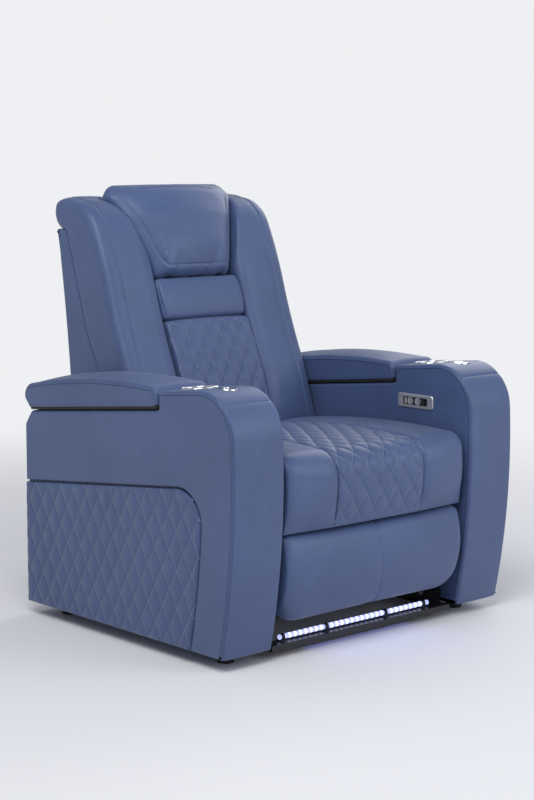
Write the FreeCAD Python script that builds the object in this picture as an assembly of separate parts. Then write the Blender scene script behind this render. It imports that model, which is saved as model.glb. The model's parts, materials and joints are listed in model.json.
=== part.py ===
import FreeCAD, Part
import math
import os

V = FreeCAD.Vector

# Overall layout, in millimetres. The datum is the front lower corner of the arms:
# y runs back from it, z runs up from the underside of the arms, x = 0 is the middle.
SEAT_W = 580.0
ARM_GAP = 17.0
ARM_W = 150.0
FOOT_H = 30.0
PAD_GAP = 0.5
PIN_R = 5.0
PIN_FIT = 0.05

# Arms
ARM_BELLY = 43.0
ARM_BELLY_Z = 390.0
ARM_REAR_Y = 745.0
ARM_REAR_KNEE_Z = 304.0
ARM_NOSE_R = 110.0
ARM_TOP_Z = 578.0
ARM_SLOPE = 6.0
ARM_EDGE_R = 8.0
COVER_T = 16.0
BOARD_T = 12.0
BOARD_GAP = 0.4
LID_FRONT_Y = 217.0
LEDGE_DROP = 42.0
LEDGE_LEN = 505.0

# Lids and their hinges
LID_OVERHANG = 4.0
LID_LIFT = 3.0
LID_BOARD_T = 9.0
LID_CROWN = 13.0
LID_PIVOT_U = 513.0
LID_PIVOT_V = 3.5
LID_OPEN = 80.0
HINGE_R = 3.0
HINGE_LEAF_T = 1.5

# Storage bins
BIN_W = 86.0
BIN_L = 410.0
BIN_DEPTH = 190.0
BIN_WALL = 2.5
BIN_FLANGE = 12.0
BIN_FRONT_U = 45.0

# Cup holders and tray sockets
CUP_Y = 162.0
CUP_BODY_R = 38.5
CUP_DEPTH = 78.0
CUP_WALL = 1.5
CUP_LIP_R = 42.0
CUP_RING_R = 45.0
DOCK_Y = 66.0
DOCK_FLANGE_R = 24.0
DOCK_BORE_R = 10.0
DOCK_TUBE_R = 14.0
DOCK_DEPTH = 45.0
DOCK_SEAT_DROP = 4.5

# Quilted side panels
PANEL_T = 10.0
PANEL_PROUD = 2.5
PANEL_GROOVE = 3.0
PANEL_CORNER_R = 80.0
PANEL_FRONT_INSET = 112.0
PANEL_TOP_REAR_Z = 303.0
QUILT_W = 52.0
QUILT_H = 88.0
QUILT_DEPTH = 2.0
QUILT_HALF = 2.6

# Control panel on the inner face of the right arm
BEZEL_L = 120.0
BEZEL_H = 35.0
BEZEL_Y = 144.0
BEZEL_Z = 494.5
BEZEL_PROUD = 3.0
BEZEL_R = 8.0
WINDOW_L = 83.0
WINDOW_H = 20.0
ROCKER_R = 9.3
ROCKER_Y = (161.7, 136.3)
BUTTON_Y = 178.5
BUTTON_W = 6.0
BUTTON_H = 15.0
PORT_Y = 111.5

# Base
RAIL_WEB = 3.0
RAIL_FRONT_Y = 50.0
RAIL_REAR_Y = 700.0
RAIL_LOW_Z = -12.0
CHANNEL_Z = 30.0
CHANNEL_H = 30.0
CHANNEL_D = 18.0
FRONT_RAIL_Y = 12.0
FRONT_RAIL_H = 14.0
CROSS_TUBE = 25.0
CROSS_Y = (360.0, 655.0)
BOLT_R = 4.0
BOLT_Z = 14.0
BOLT_Y = (110.0, 300.0, 490.0, 690.0)
GLIDE_R = 24.0
GLIDE_Y = (75.0, 670.0)
LED_R = 6.0
LED_Y = 34.0
LED_Z = 12.0
LED_X = (-255.0, 238.0)
LED_CLIP_X = (-247.0, -109.0, 88.0, 221.0)
LED_CLIP_W = 10.0

# Seat
SEAT_REAR_Y = 484.0
SEAT_MID_HALF = 141.0
SEAT_BASE_Z = 292.0
SEAT_LIP_Z = 262.0
SEAT_LIP_T = 40.0
SEAT_EDGE_DRAW = 9.0
SEAT_CROWN = 4.0
FRAME_TUBE = 25.0
FRAME_FRONT_Y = 20.0
SPRING_COUNT = 5
SPRING_WIRE = 4.0
SPRING_PITCH = 34.0
SPRING_SPAN = 60.0

# Carriage side plates and the glide shoes
PLATE_T = 4.0
PLATE_X = SEAT_W / 2 - 14.0
SHOE_L = 60.0
SHOE_Y = (190.0, 560.0)
SHOE_FIT = 0.5

# Recline joint
BACK_PIVOT = (590.0, 330.0)
BACK_LEAN = 22.4
RECLINE = 35.0
RECLINE_LUG_R = 112.0
RECLINE_X = 70.0
SLIDE_TRAVEL = 70.0

# Footrest linkage: pivots at rest and link lengths, on the two side plates
FRONT_PIVOT = (144.07, 247.12)
REAR_PIVOT = (189.04, 227.86)
FRONT_LINK = 197.81
FRONT_LINK_TIP = 229.68
REAR_LINK = 197.72
UPPER_TAIL = 48.05
UPPER_LINK = 252.88
LOWER_LINK = 258.05
BRACKET_ARM = (12.75, -42.17)
FRONT_ANGLE = -0.768
REAR_ANGLE = -0.774
UPPER_ANGLE = 2.712
LOWER_ANGLE = 2.787
FRONT_SWING = -2.299
UPPER_SWING = 0.052
LOWER_SWING = 0.015
FOOT_SWING = -math.pi / 2
OPEN_PIN_SLACK = 5.4
TAIL_PIN_SLACK = 0.9
LINK_T = 4.0
LINK_HALF = 10.0
LINK_X = {"lower": PLATE_X - 7.0, "front": PLATE_X - 14.0, "upper": PLATE_X - 20.0, "rear": PLATE_X - 26.0}
TORQUE_R = 9.0
YOKE_LUG_R = 52.0
YOKE_SLACK = 5.2
YOKE_X = -60.0
ROD_R = 8.0
EYE_SLACK = 0.8
TUBE_END = 12.0
FOOT_TUBE_Y = (290.0, 430.0)
BACK_TUBE_Y = (385.0, 524.0)

# Footrest pad
FOOT_HALF = SEAT_W / 2 - 2.0
FOOT_BOARD_T = 14.0
FOOT_BACK_Y = 23.0
FOOT_BOARD_LOW = 66.0
FOOT_BOARD_HIGH = 250.0
FOOT_CORNER_LIFT = 34.0
FOOT_CORNER_RUN = 60.0
FOOT_CROWN = 11.0

# Back
BACK_HALF = SEAT_W / 2 + 6.0
SHELL_HALF = BACK_HALF - 2.0
SHELL_T = 8.0
SHELL_LOW_Z = 300.0
CORE_HALF = 138.0
WING_DRAW = 20.0
WING_ROLL = 34.0
LUMBAR_TOP = (587.0, 695.0)
LUMBAR_H = 262.0
LUMBAR_T = 55.0
LUMBAR_TRAVEL = 25.0
LUMBAR_CROWN = 7.0
HEAD_PIVOT = (645.0, 815.0)
HEAD_ROUND_R = 20.0
HEAD_TILT = 30.0
HEAD_H = 262.0
HEAD_T = 74.0
HEAD_GAP = 3.0
HEAD_LUG_R = 45.0
HEAD_PLATE_T = 5.0
HEAD_PLATE_HALF = 110.0
HEAD_PLATE_UP = (64.0, 190.0)
HEAD_SLOT_UP = 75.0
HEAD_HALVES = (126.0, 177.0, 204.0, 178.0)
HEAD_HEIGHTS = (0.0, 162.0, 226.0, 258.0)
UPRIGHT_T = 5.0
UPRIGHT_X = PLATE_X - 10.0
HINGE_ARM_X = 84.0
BACK_TUBE_R = 9.0
LUMBAR_ROD_DROP = 155.0

# Derived places
ARM_IN = SEAT_W / 2 + ARM_GAP
ARM_OUT = ARM_IN + ARM_W
ARM_MID = ARM_IN + ARM_W / 2
SLOPE = math.radians(ARM_SLOPE)
LEDGE_Z = ARM_TOP_Z - LEDGE_DROP
BIG = 2000.0
OVER = 1.0


def point(y, z, x=0.0):
    """A vector from a place in the side view."""
    return V(x, y, z)


def outline(path, x=0.0):
    """Closed wire in the side view; a 'via' entry makes an arc to the entry after it."""
    edges = []
    entries = list(path) + [path[0]]
    here = entries[0]
    i = 1
    while i < len(entries):
        if entries[i][0] == "via":
            middle = point(entries[i][1], entries[i][2], x)
            end = entries[i + 1]
            arc = Part.Arc(point(here[0], here[1], x), middle, point(end[0], end[1], x))
            edges.append(arc.toShape())
            i += 2
        else:
            end = entries[i]
            edges.append(Part.LineSegment(point(here[0], here[1], x), point(end[0], end[1], x)).toShape())
            i += 1
        here = end
    return Part.Wire(edges)


def prism(path, x0, x1):
    """Side-view outline carried from x0 to x1."""
    return Part.Face(outline(path, x0)).extrude(V(x1 - x0, 0, 0))


def block(x0, x1, y0, y1, z0, z1):
    """Box between two corners."""
    return Part.makeBox(x1 - x0, y1 - y0, z1 - z0, V(x0, y0, z0))


def cross_pin(place, x0, x1, radius):
    """Round bar along x at a place in the side view."""
    return Part.makeCylinder(radius, x1 - x0, V(x0, place[0], place[1]), V(1, 0, 0))


def fuse(shapes):
    """One solid from several."""
    result = shapes[0]
    for shape in shapes[1:]:
        result = result.fuse(shape)
    return result.removeSplitter()


def group(shapes):
    """Separate solids in one piece of the parts list."""
    return Part.Compound(shapes)


def mirrored(shape):
    """The same shape for the other side of the chair."""
    return shape.mirror(V(0, 0, 0), V(1, 0, 0))


def coordinates(entry):
    """The y and z of a path entry, whether a corner or the middle of an arc."""
    return (entry[1], entry[2]) if entry[0] == "via" else (entry[0], entry[1])


def moved_entry(entry, dy, dz):
    """A path entry shifted in the side view."""
    if entry[0] == "via":
        return ("via", entry[1] + dy, entry[2] + dz)
    return (entry[0] + dy, entry[1] + dz)


def drawn_in(path, depth, first, last):
    """The path with entries first to last moved inwards by depth, square to the surface."""
    result = list(path)
    for i in range(first, last + 1):
        before = coordinates(path[max(i - 1, 0)])
        after = coordinates(path[min(i + 1, len(path) - 1)])
        dy = after[0] - before[0]
        dz = after[1] - before[1]
        length = math.hypot(dy, dz)
        result[i] = moved_entry(path[i], depth * dz / length, -depth * dy / length)
    return result


def between(path_a, path_b, share):
    """The path a share of the way from path_a to path_b."""
    result = []
    for a, b in zip(path_a, path_b):
        ya, za = coordinates(a)
        yb, zb = coordinates(b)
        result.append(moved_entry(a, (yb - ya) * share, (zb - za) * share))
    return result


def padded_loft(sections):
    """Solid ruled through side-view paths set at rising x."""
    return Part.makeLoft([outline(path, x) for x, path in sections], True, True)


def rolled_loft(x0, x1, path_at, draw, roll, soft):
    """Pad from x0 to x1 whose soft entries roll inwards by draw over the last roll at each end.

    path_at gives the side view at a share of the way across, from 0 to 1.
    """
    sections = []
    steps = (0.0, 0.3, 1.0)
    near = [x0 + roll * step for step in steps]
    inside = [x0 + roll + (x1 - x0 - 2 * roll) * share for share in (0.33, 0.67)]
    far = [x1 - roll * step for step in reversed(steps)]
    for x in near + inside + far:
        away = min(min(x - x0, x1 - x) / roll, 1.0)
        depth = draw * (1 - math.sqrt(1 - (1 - away) ** 2))
        sections.append((x, drawn_in(path_at((x - x0) / (x1 - x0)), depth, *soft)))
    return padded_loft(sections)


def crown(share):
    """Rise of a crowned pad across its width, from 0 at the ends to 1 in the middle."""
    return 1 - (2 * share - 1) ** 2


def turned(shape, place, angle):
    """A shape turned about a cross axis at a side-view place, positive from +y to +z."""
    copy = shape.copy()
    copy.rotate(point(place[0], place[1]), V(1, 0, 0), math.degrees(angle))
    return copy


def reach(place, angle, length):
    """The place a length away from another along an angle."""
    return (place[0] + length * math.cos(angle), place[1] + length * math.sin(angle))


# Frames that follow the sloping arm top and the leaning back


def on_ledge(shape):
    """From ledge axes, u back and v up from the ledge's front edge, to the chair."""
    copy = shape.copy()
    copy.rotate(V(0, 0, 0), V(1, 0, 0), -ARM_SLOPE)
    copy.translate(V(0, LID_FRONT_Y, LEDGE_Z))
    return copy


def ledge_place(u, v):
    """A place in the side view from ledge axes."""
    return (LID_FRONT_Y + u * math.cos(SLOPE) + v * math.sin(SLOPE),
            LEDGE_Z - u * math.sin(SLOPE) + v * math.cos(SLOPE))


def top_height(y):
    """Height of the arm's straight top at y."""
    return ARM_TOP_Z + (LID_FRONT_Y - y) * math.tan(SLOPE)


LEAN = math.radians(BACK_LEAN)
UP = (math.sin(LEAN), math.cos(LEAN))
REARWARD = (math.cos(LEAN), -math.sin(LEAN))


def back_place(origin, rear, up):
    """A place rear and up from an origin, in axes that lean with the back."""
    return (origin[0] + rear * REARWARD[0] + up * UP[0], origin[1] + rear * REARWARD[1] + up * UP[1])


def back_block(origin, x0, x1, rear0, rear1, up0, up1):
    """Box in the axes that lean with the back."""
    corners = [back_place(origin, rear0, up0), back_place(origin, rear1, up0),
               back_place(origin, rear1, up1), back_place(origin, rear0, up1)]
    return prism(corners, x0, x1)


def back_bar(origin, x, rear0, rear1, up, radius):
    """Round bar square to the back, from rear0 to rear1."""
    start = back_place(origin, rear0, up)
    return Part.makeCylinder(radius, rear1 - rear0, point(start[0], start[1], x), point(*REARWARD))


def back_post(origin, x, rear, up0, up1, radius):
    """Round bar along the back, from up0 to up1."""
    start = back_place(origin, rear, up0)
    return Part.makeCylinder(radius, up1 - up0, point(start[0], start[1], x), point(*UP))


# Arms


def front_radius():
    """Radius of the bowed arm front, from its bulge."""
    return (ARM_BELLY_Z ** 2 + ARM_BELLY ** 2) / (2 * ARM_BELLY)


def front_edge_y(z, inset=0.0):
    """y of the arm front at a height."""
    radius = front_radius()
    return radius - ARM_BELLY - math.sqrt((radius - inset) ** 2 - (z - ARM_BELLY_Z) ** 2)


def arm_corner(inset):
    """Sharp corner between the bowed front and the sloping top, before it is rounded."""
    y = -ARM_BELLY
    for _ in range(20):
        y = front_edge_y(top_height(y) - inset / math.cos(SLOPE), inset)
    return (y, top_height(y) - inset / math.cos(SLOPE))


def arm_solid(inset, x0, x1):
    """Arm body drawn in by inset from the side view, with its rounded nose."""
    drop = inset / math.cos(SLOPE)
    corner = arm_corner(inset)
    step_y = LID_FRONT_Y - inset
    ledge_end = ledge_place(LEDGE_LEN, 0)
    path = [(front_edge_y(inset, inset), inset),
            ("via", front_edge_y(ARM_BELLY_Z, inset), ARM_BELLY_Z),
            corner,
            (step_y, top_height(step_y) - drop),
            (step_y, LEDGE_Z + inset * math.tan(SLOPE) - drop),
            (ledge_end[0] - inset, ledge_end[1] + inset * math.tan(SLOPE) - drop),
            (ARM_REAR_Y - inset, ledge_end[1] - 34.0 - inset),
            (ARM_REAR_Y - inset, inset)]
    solid = prism(path, x0, x1)
    nose = [e for e in solid.Edges if abs(e.BoundBox.YMin - corner[0]) < 0.01
            and abs(e.BoundBox.ZMax - corner[1]) < 0.01 and e.BoundBox.XLength > OVER]
    return solid.makeFillet(ARM_NOSE_R - inset, nose)


def side_panel_path(grow):
    """Outline of the quilted side panel, grown by its groove where asked."""
    top_rear = PANEL_TOP_REAR_Z + grow
    front_top_z = top_rear + (ARM_REAR_Y - 150.0) * math.tan(SLOPE)
    edge = PANEL_FRONT_INSET - grow
    knee_z = front_top_z - PANEL_CORNER_R
    knee = (front_edge_y(knee_z) + edge, knee_z)
    turn = (knee[0] + 0.293 * PANEL_CORNER_R, front_top_z - 0.293 * PANEL_CORNER_R)
    run = (knee[0] + PANEL_CORNER_R, top_rear + (ARM_REAR_Y - knee[0] - PANEL_CORNER_R) * math.tan(SLOPE))
    half_z = knee_z / 2
    return [(front_edge_y(0) + edge, 0.0),
            ("via", front_edge_y(half_z) + edge, half_z),
            knee,
            ("via", turn[0], turn[1]),
            run,
            (ARM_REAR_Y, top_rear),
            (ARM_REAR_Y, 0.0)]


def dock_height():
    """Height of the flat that the tray socket's flange sits in."""
    return top_height(DOCK_Y) - DOCK_SEAT_DROP


def top_bar(y, x, radius, v0, v1):
    """Round bar square to the sloping arm top, measured from its surface."""
    start = (y + v0 * math.sin(SLOPE), top_height(y) + v0 * math.cos(SLOPE))
    axis = V(0, math.sin(SLOPE), math.cos(SLOPE))
    return Part.makeCylinder(radius, v1 - v0, point(start[0], start[1], x), axis)


def arm_openings():
    """What the bin, the cup and the tray socket take out of an arm's walls."""
    bin_hole = on_ledge(block(ARM_MID - BIN_W / 2 - OVER, ARM_MID + BIN_W / 2 + OVER,
                              BIN_FRONT_U - OVER, BIN_FRONT_U + BIN_L + OVER, -BIN_DEPTH - OVER, 60.0))
    cup_hole = top_bar(CUP_Y, ARM_MID, CUP_BODY_R + PAD_GAP, -CUP_DEPTH - OVER, 20.0)
    dock_hole = Part.makeCylinder(DOCK_TUBE_R + PAD_GAP, DOCK_DEPTH + 60.0,
                                  point(DOCK_Y, dock_height() - DOCK_DEPTH - OVER, ARM_MID), V(0, 0, 1))
    return [bin_hole, cup_hole, dock_hole]


def bolt_holes():
    """Holes for the bolts that fix an arm to the base rail."""
    return [cross_pin((y, BOLT_Z), ARM_IN - 20.0, ARM_IN + 40.0, BOLT_R + PIN_FIT) for y in BOLT_Y]


def panel_recess():
    """Shallow seat in the arm's outer face for the quilted panel and its groove."""
    path = side_panel_path(PANEL_GROOVE)
    depth = PANEL_T - PANEL_PROUD
    seat = prism(path, ARM_OUT - depth, ARM_OUT + OVER)
    below = block(ARM_OUT - depth, ARM_OUT + OVER, path[0][0], ARM_REAR_Y + OVER, -OVER, 0)
    behind = block(ARM_OUT - depth, ARM_OUT + OVER, ARM_REAR_Y, ARM_REAR_Y + OVER, 0, path[5][1])
    return fuse([seat, below, behind])


def control_cutout(extra, x1):
    """Opening in the right arm for the control housing."""
    half_l = WINDOW_L / 2 + 5.0 + extra
    half_h = WINDOW_H / 2 + 3.0 + extra
    return block(ARM_IN - OVER, x1, BEZEL_Y - half_l, BEZEL_Y + half_l, BEZEL_Z - half_h, BEZEL_Z + half_h)


def arm_cover(with_controls):
    """Upholstered arm shell, open below, for the right side."""
    outer = arm_solid(0, ARM_IN, ARM_OUT)
    rim = [e for e in outer.Edges if e.BoundBox.XLength < 0.01 and e.CenterOfMass.y < LID_FRONT_Y - OVER
           and e.BoundBox.ZMax > OVER]
    outer = outer.makeFillet(ARM_EDGE_R, rim)
    inner = arm_solid(COVER_T, ARM_IN + COVER_T, ARM_OUT - COVER_T)
    mouth = block(ARM_IN + COVER_T, ARM_OUT - COVER_T, front_edge_y(COVER_T, COVER_T),
                  ARM_REAR_Y - COVER_T, -OVER, COVER_T + OVER)
    shell = outer.cut(inner).cut(mouth).cut(panel_recess())
    for hole in arm_openings() + bolt_holes():
        shell = shell.cut(hole)
    dock_seat = Part.makeCylinder(DOCK_FLANGE_R + PAD_GAP, 30.0, point(DOCK_Y, dock_height(), ARM_MID), V(0, 0, 1))
    shell = shell.cut(dock_seat)
    if with_controls:
        shell = shell.cut(control_cutout(PAD_GAP, ARM_IN + COVER_T + OVER))
    return shell


def arm_frame(with_controls):
    """Plywood carcass that the cover is pulled over, for the right side."""
    inset = COVER_T + BOARD_GAP
    x0 = ARM_IN + inset
    x1 = ARM_OUT - inset
    outer = arm_solid(inset, x0, x1)
    lower = block(x0, x1, front_edge_y(inset, inset), ARM_REAR_Y - inset, 0, inset + OVER)
    inner = arm_solid(inset + BOARD_T, x0 + BOARD_T, x1 - BOARD_T)
    room = block(x0 + BOARD_T, x1 - BOARD_T, front_edge_y(inset, inset) + BOARD_T,
                 ARM_REAR_Y - inset - BOARD_T, BOARD_T, inset + BOARD_T + OVER)
    frame = fuse([outer, lower]).cut(inner).cut(room)
    for hole in arm_openings() + bolt_holes():
        frame = frame.cut(hole)
    for y, half in ((150.0, 60.0), (380.0, 110.0), (600.0, 60.0)):
        window = prism([(y - half, 90.0), (y + half, 90.0), ("via", y + half + 35.0, 160.0),
                        (y + half, 230.0), (y - half, 230.0), ("via", y - half - 35.0, 160.0)],
                       x0 - OVER, x1 + OVER)
        frame = frame.cut(window)
    if with_controls:
        frame = frame.cut(control_cutout(PAD_GAP, x0 + BOARD_T + OVER))
    return frame


def quilt_grooves(x_face, path):
    """Crossing V grooves that mark the stitched diamonds on a flat outer face."""
    front = min(coordinates(entry)[0] for entry in path)
    top = max(coordinates(entry)[1] for entry in path)
    rise = math.atan2(QUILT_H, QUILT_W)
    run = top / math.tan(rise)
    length = math.hypot(run, top) + QUILT_W
    profile = Part.makePolygon([V(x_face - QUILT_DEPTH, 0, 0), V(x_face + OVER, 0, -QUILT_HALF),
                                V(x_face + OVER, 0, QUILT_HALF), V(x_face - QUILT_DEPTH, 0, 0)])
    bar = Part.Face(profile).extrude(V(0, length, 0))
    grooves = []
    for i in range(int((ARM_REAR_Y - front + run) / QUILT_W) + 1):
        start_y = ARM_REAR_Y - (i + 0.5) * QUILT_W
        for side in (1, -1):
            groove = turned(bar, (0, 0), side * rise)
            groove.translate(V(0, start_y, 0 if side > 0 else top))
            grooves.append(groove)
    return grooves


def side_panel():
    """Quilted outer panel, for the right side."""
    path = side_panel_path(0)
    inner_x = ARM_OUT - (PANEL_T - PANEL_PROUD)
    outer_x = ARM_OUT + PANEL_PROUD
    base = prism(path, inner_x, ARM_OUT)
    rolled = Part.makeLoft([outline(path, ARM_OUT), outline(side_panel_path(-PANEL_PROUD), outer_x)], True, True)
    return fuse([base, rolled]).cut(quilt_grooves(outer_x, path))


def rounded_tub(x_half, length, depth, radius):
    """Tub block with rounded upright corners, from v = -depth to v = 0."""
    solid = block(ARM_MID - x_half, ARM_MID + x_half, BIN_FRONT_U, BIN_FRONT_U + length, -depth, 0)
    upright = [e for e in solid.Edges if e.BoundBox.ZLength > depth - OVER]
    return solid.makeFillet(radius, upright)


def storage_bin():
    """Open tub under the lid, for the right side."""
    body = rounded_tub(BIN_W / 2, BIN_L, BIN_DEPTH, 14.0)
    flange = block(ARM_MID - BIN_W / 2 - BIN_FLANGE, ARM_MID + BIN_W / 2 + BIN_FLANGE,
                   BIN_FRONT_U - BIN_FLANGE, BIN_FRONT_U + BIN_L + BIN_FLANGE, 0, 2.0)
    space = block(ARM_MID - BIN_W / 2 + BIN_WALL, ARM_MID + BIN_W / 2 - BIN_WALL,
                  BIN_FRONT_U + BIN_WALL, BIN_FRONT_U + BIN_L - BIN_WALL, -BIN_DEPTH + BIN_WALL, 3.0)
    upright = [e for e in space.Edges if e.BoundBox.ZLength > BIN_DEPTH - 10.0]
    space = space.makeFillet(14.0 - BIN_WALL, upright)
    return on_ledge(fuse([body, flange]).cut(space))


def cup_holder():
    """Steel cup let into the arm top, for the right side."""
    body = top_bar(CUP_Y, ARM_MID, CUP_BODY_R, -CUP_DEPTH, 0)
    lip = top_bar(CUP_Y, ARM_MID, CUP_LIP_R, 0, CUP_WALL)
    space = top_bar(CUP_Y, ARM_MID, CUP_BODY_R - CUP_WALL, -CUP_DEPTH + CUP_WALL, 5.0)
    return fuse([body, lip]).cut(space)


def cup_ring():
    """Polished trim ring over the cup's lip, for the right side."""
    low = top_bar(CUP_Y, ARM_MID, CUP_RING_R, 0, 2.5)
    dome = Part.makeCone(CUP_RING_R, CUP_RING_R - 2.5, 2.0, V(0, 0, 0), V(0, 0, 1))
    dome.rotate(V(0, 0, 0), V(1, 0, 0), -ARM_SLOPE)
    dome.translate(point(CUP_Y + 2.5 * math.sin(SLOPE), top_height(CUP_Y) + 2.5 * math.cos(SLOPE), ARM_MID))
    bore = top_bar(CUP_Y, ARM_MID, CUP_BODY_R + 1.0, -1.0, 8.0)
    rebate = top_bar(CUP_Y, ARM_MID, CUP_LIP_R + 0.2, -1.0, CUP_WALL)
    return fuse([low, dome]).cut(bore).cut(rebate)


def tray_socket():
    """Chrome accessory socket near the arm's nose, for the right side."""
    base = point(DOCK_Y, dock_height(), ARM_MID)
    skirt = Part.makeCylinder(DOCK_FLANGE_R, 3.0, base, V(0, 0, 1))
    dome = Part.makeCone(DOCK_FLANGE_R, DOCK_FLANGE_R - 4.0, 2.0, base + V(0, 0, 3.0), V(0, 0, 1))
    tube = Part.makeCylinder(DOCK_TUBE_R, DOCK_DEPTH, base - V(0, 0, DOCK_DEPTH), V(0, 0, 1))
    bore = Part.makeCylinder(DOCK_BORE_R, DOCK_DEPTH + 10.0, base - V(0, 0, DOCK_DEPTH - 3.0), V(0, 0, 1))
    return fuse([skirt, dome, tube]).cut(bore)


# Lids


def lid_path(lift, high):
    """Side outline of a lid in the chair's own axes, from its underside at lift to its top."""
    raw = [(3.0, lift), (1.0, 30.0), ("via", 8.0, 47.0), (30.0, 54.0), ("via", 170.0, 69.0), (316.0, 72.4),
           ("via", 420.0, 71.5), (486.0, 66.0), ("via", 520.0, 50.0), (523.0, 30.0), (507.0, lift + 4.0),
           (503.0, lift)]
    result = []
    for entry in raw:
        u, v = coordinates(entry)
        grown = v + high * math.sin(math.pi * min(max(u / 500.0, 0.0), 1.0)) ** 0.5 if v > 40.0 else v
        y, z = ledge_place(u, grown)
        result.append(("via", y, z) if entry[0] == "via" else (y, z))
    return result


def lid_pad():
    """Padded lid cushion, for the right side."""
    half = ARM_W / 2 + LID_OVERHANG
    lift = LID_LIFT + LID_BOARD_T

    def path_at(share):
        return lid_path(lift, LID_CROWN * crown(share))

    return rolled_loft(ARM_MID - half, ARM_MID + half, path_at, 7.0, 14.0, (2, 9))


def lid_board():
    """Plywood base of a lid with its hinge leaf, for the right side."""
    half = ARM_W / 2 + LID_OVERHANG - 3.0
    board = on_ledge(block(ARM_MID - half, ARM_MID + half, 4.0, 500.0, LID_LIFT, LID_LIFT + LID_BOARD_T))
    pivot = ledge_place(LID_PIVOT_U, LID_PIVOT_V)
    parts = [board]
    for x0, x1 in hinge_spans(1):
        knuckle = cross_pin(pivot, x0, x1, HINGE_R)
        leaf = on_ledge(block(x0, x1, 499.0, LID_PIVOT_U, LID_PIVOT_V, LID_PIVOT_V + HINGE_LEAF_T + 1.0))
        parts.append(fuse([knuckle, leaf]).cut(cross_pin(pivot, x0 - OVER, x1 + OVER, HINGE_R / 2 + PIN_FIT)))
    return fuse(parts)


def hinge_spans(turn):
    """The x spans of one leaf's knuckles; the two leaves take turns along the pin."""
    spans = []
    count = 3
    width = 100.0 / count
    for i in range(count):
        if i % 2 == turn:
            start = ARM_MID - 50.0 + i * width
            spans.append((start + 0.3, start + width - 0.3))
    return spans


def lid_hinge():
    """Fixed hinge leaf and pin on the arm's ledge, for the right side."""
    pivot = ledge_place(LID_PIVOT_U, LID_PIVOT_V)
    parts = [cross_pin(pivot, ARM_MID - 50.0, ARM_MID + 50.0, HINGE_R / 2)]
    for x0, x1 in hinge_spans(0):
        parts.append(cross_pin(pivot, x0, x1, HINGE_R))
        parts.append(on_ledge(block(x0, x1, 478.0, LID_PIVOT_U - 1.0, 0.2, 0.2 + HINGE_LEAF_T)))
    bar = on_ledge(block(ARM_MID - 50.0, ARM_MID + 50.0, 478.0, 496.0, 0, HINGE_LEAF_T))
    return fuse(parts + [bar])


# Controls


def rounded_rect(length, height, radius, x0, x1):
    """Rounded rectangle on the control panel's centre, carried from x0 to x1."""
    solid = block(x0, x1, BEZEL_Y - length / 2, BEZEL_Y + length / 2, BEZEL_Z - height / 2, BEZEL_Z + height / 2)
    corners = [e for e in solid.Edges if e.BoundBox.XLength > abs(x1 - x0) - 0.01]
    return solid.makeFillet(radius, corners)


def control_bezel():
    """Brushed frame round the controls."""
    plate = rounded_rect(BEZEL_L, BEZEL_H, BEZEL_R, ARM_IN - BEZEL_PROUD, ARM_IN)
    rim = [e for e in plate.Edges if abs(e.BoundBox.XMax - (ARM_IN - BEZEL_PROUD)) < 0.01]
    plate = plate.makeChamfer(1.5, rim)
    window = rounded_rect(WINDOW_L, WINDOW_H, 3.0, ARM_IN - BEZEL_PROUD - OVER, ARM_IN + OVER)
    return plate.cut(window)


def control_housing():
    """Black insert that holds the rockers, the button and the charging port."""
    face_x = ARM_IN
    back_x = ARM_IN + COVER_T + BOARD_T
    body = control_cutout(0, back_x)
    body = body.cut(block(ARM_IN - 2 * OVER, face_x, 0, 400.0, 400.0, 600.0))
    for y in ROCKER_Y:
        body = body.cut(cross_pin((y, BEZEL_Z), face_x - OVER, face_x + 9.0, ROCKER_R + 0.5))
    slot = block(face_x - OVER, face_x + 9.0, BUTTON_Y - BUTTON_W / 2 - 0.4, BUTTON_Y + BUTTON_W / 2 + 0.4,
                 BEZEL_Z - BUTTON_H / 2 - 0.4, BEZEL_Z + BUTTON_H / 2 + 0.4)
    port = block(face_x - OVER, face_x + 12.0, PORT_Y - 3.5, PORT_Y + 3.5, BEZEL_Z - 6.5, BEZEL_Z + 6.5)
    tongue = block(face_x + 2.0, face_x + 12.0, PORT_Y - 0.9, PORT_Y + 0.9, BEZEL_Z - 5.0, BEZEL_Z + 5.0)
    body = body.cut(slot).cut(port)
    pins = [Part.makeCylinder(1.5, 2 * ROCKER_R + 2.0, V(face_x + 4.5, y, BEZEL_Z - ROCKER_R - 1.0), V(0, 0, 1))
            for y in ROCKER_Y]
    return fuse([body, tongue] + pins)


def rocker(y):
    """Round rocker cap with a valley across its face, turning on an upright pin."""
    disc = cross_pin((y, BEZEL_Z), ARM_IN - 2.0, ARM_IN + 6.5, ROCKER_R)
    valley = Part.makeCylinder(24.0, 4 * ROCKER_R, V(ARM_IN - 25.0, y, BEZEL_Z - 2 * ROCKER_R), V(0, 0, 1))
    bore = Part.makeCylinder(1.5 + PIN_FIT, 4 * ROCKER_R, V(ARM_IN + 4.5, y, BEZEL_Z - 2 * ROCKER_R), V(0, 0, 1))
    return disc.cut(valley).cut(bore)


def push_button():
    """Small bar button beside the rockers."""
    cap = block(ARM_IN - 1.5, ARM_IN + 6.0, BUTTON_Y - BUTTON_W / 2, BUTTON_Y + BUTTON_W / 2,
                BEZEL_Z - BUTTON_H / 2, BEZEL_Z + BUTTON_H / 2)
    rim = [e for e in cap.Edges if e.BoundBox.XMax < ARM_IN - 1.0]
    return cap.makeChamfer(0.8, rim)


# Base


def rail_bounds():
    """Inner and outer x of the right base rail."""
    outer = ARM_IN - RAIL_WEB
    return outer - CHANNEL_D, outer


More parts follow.
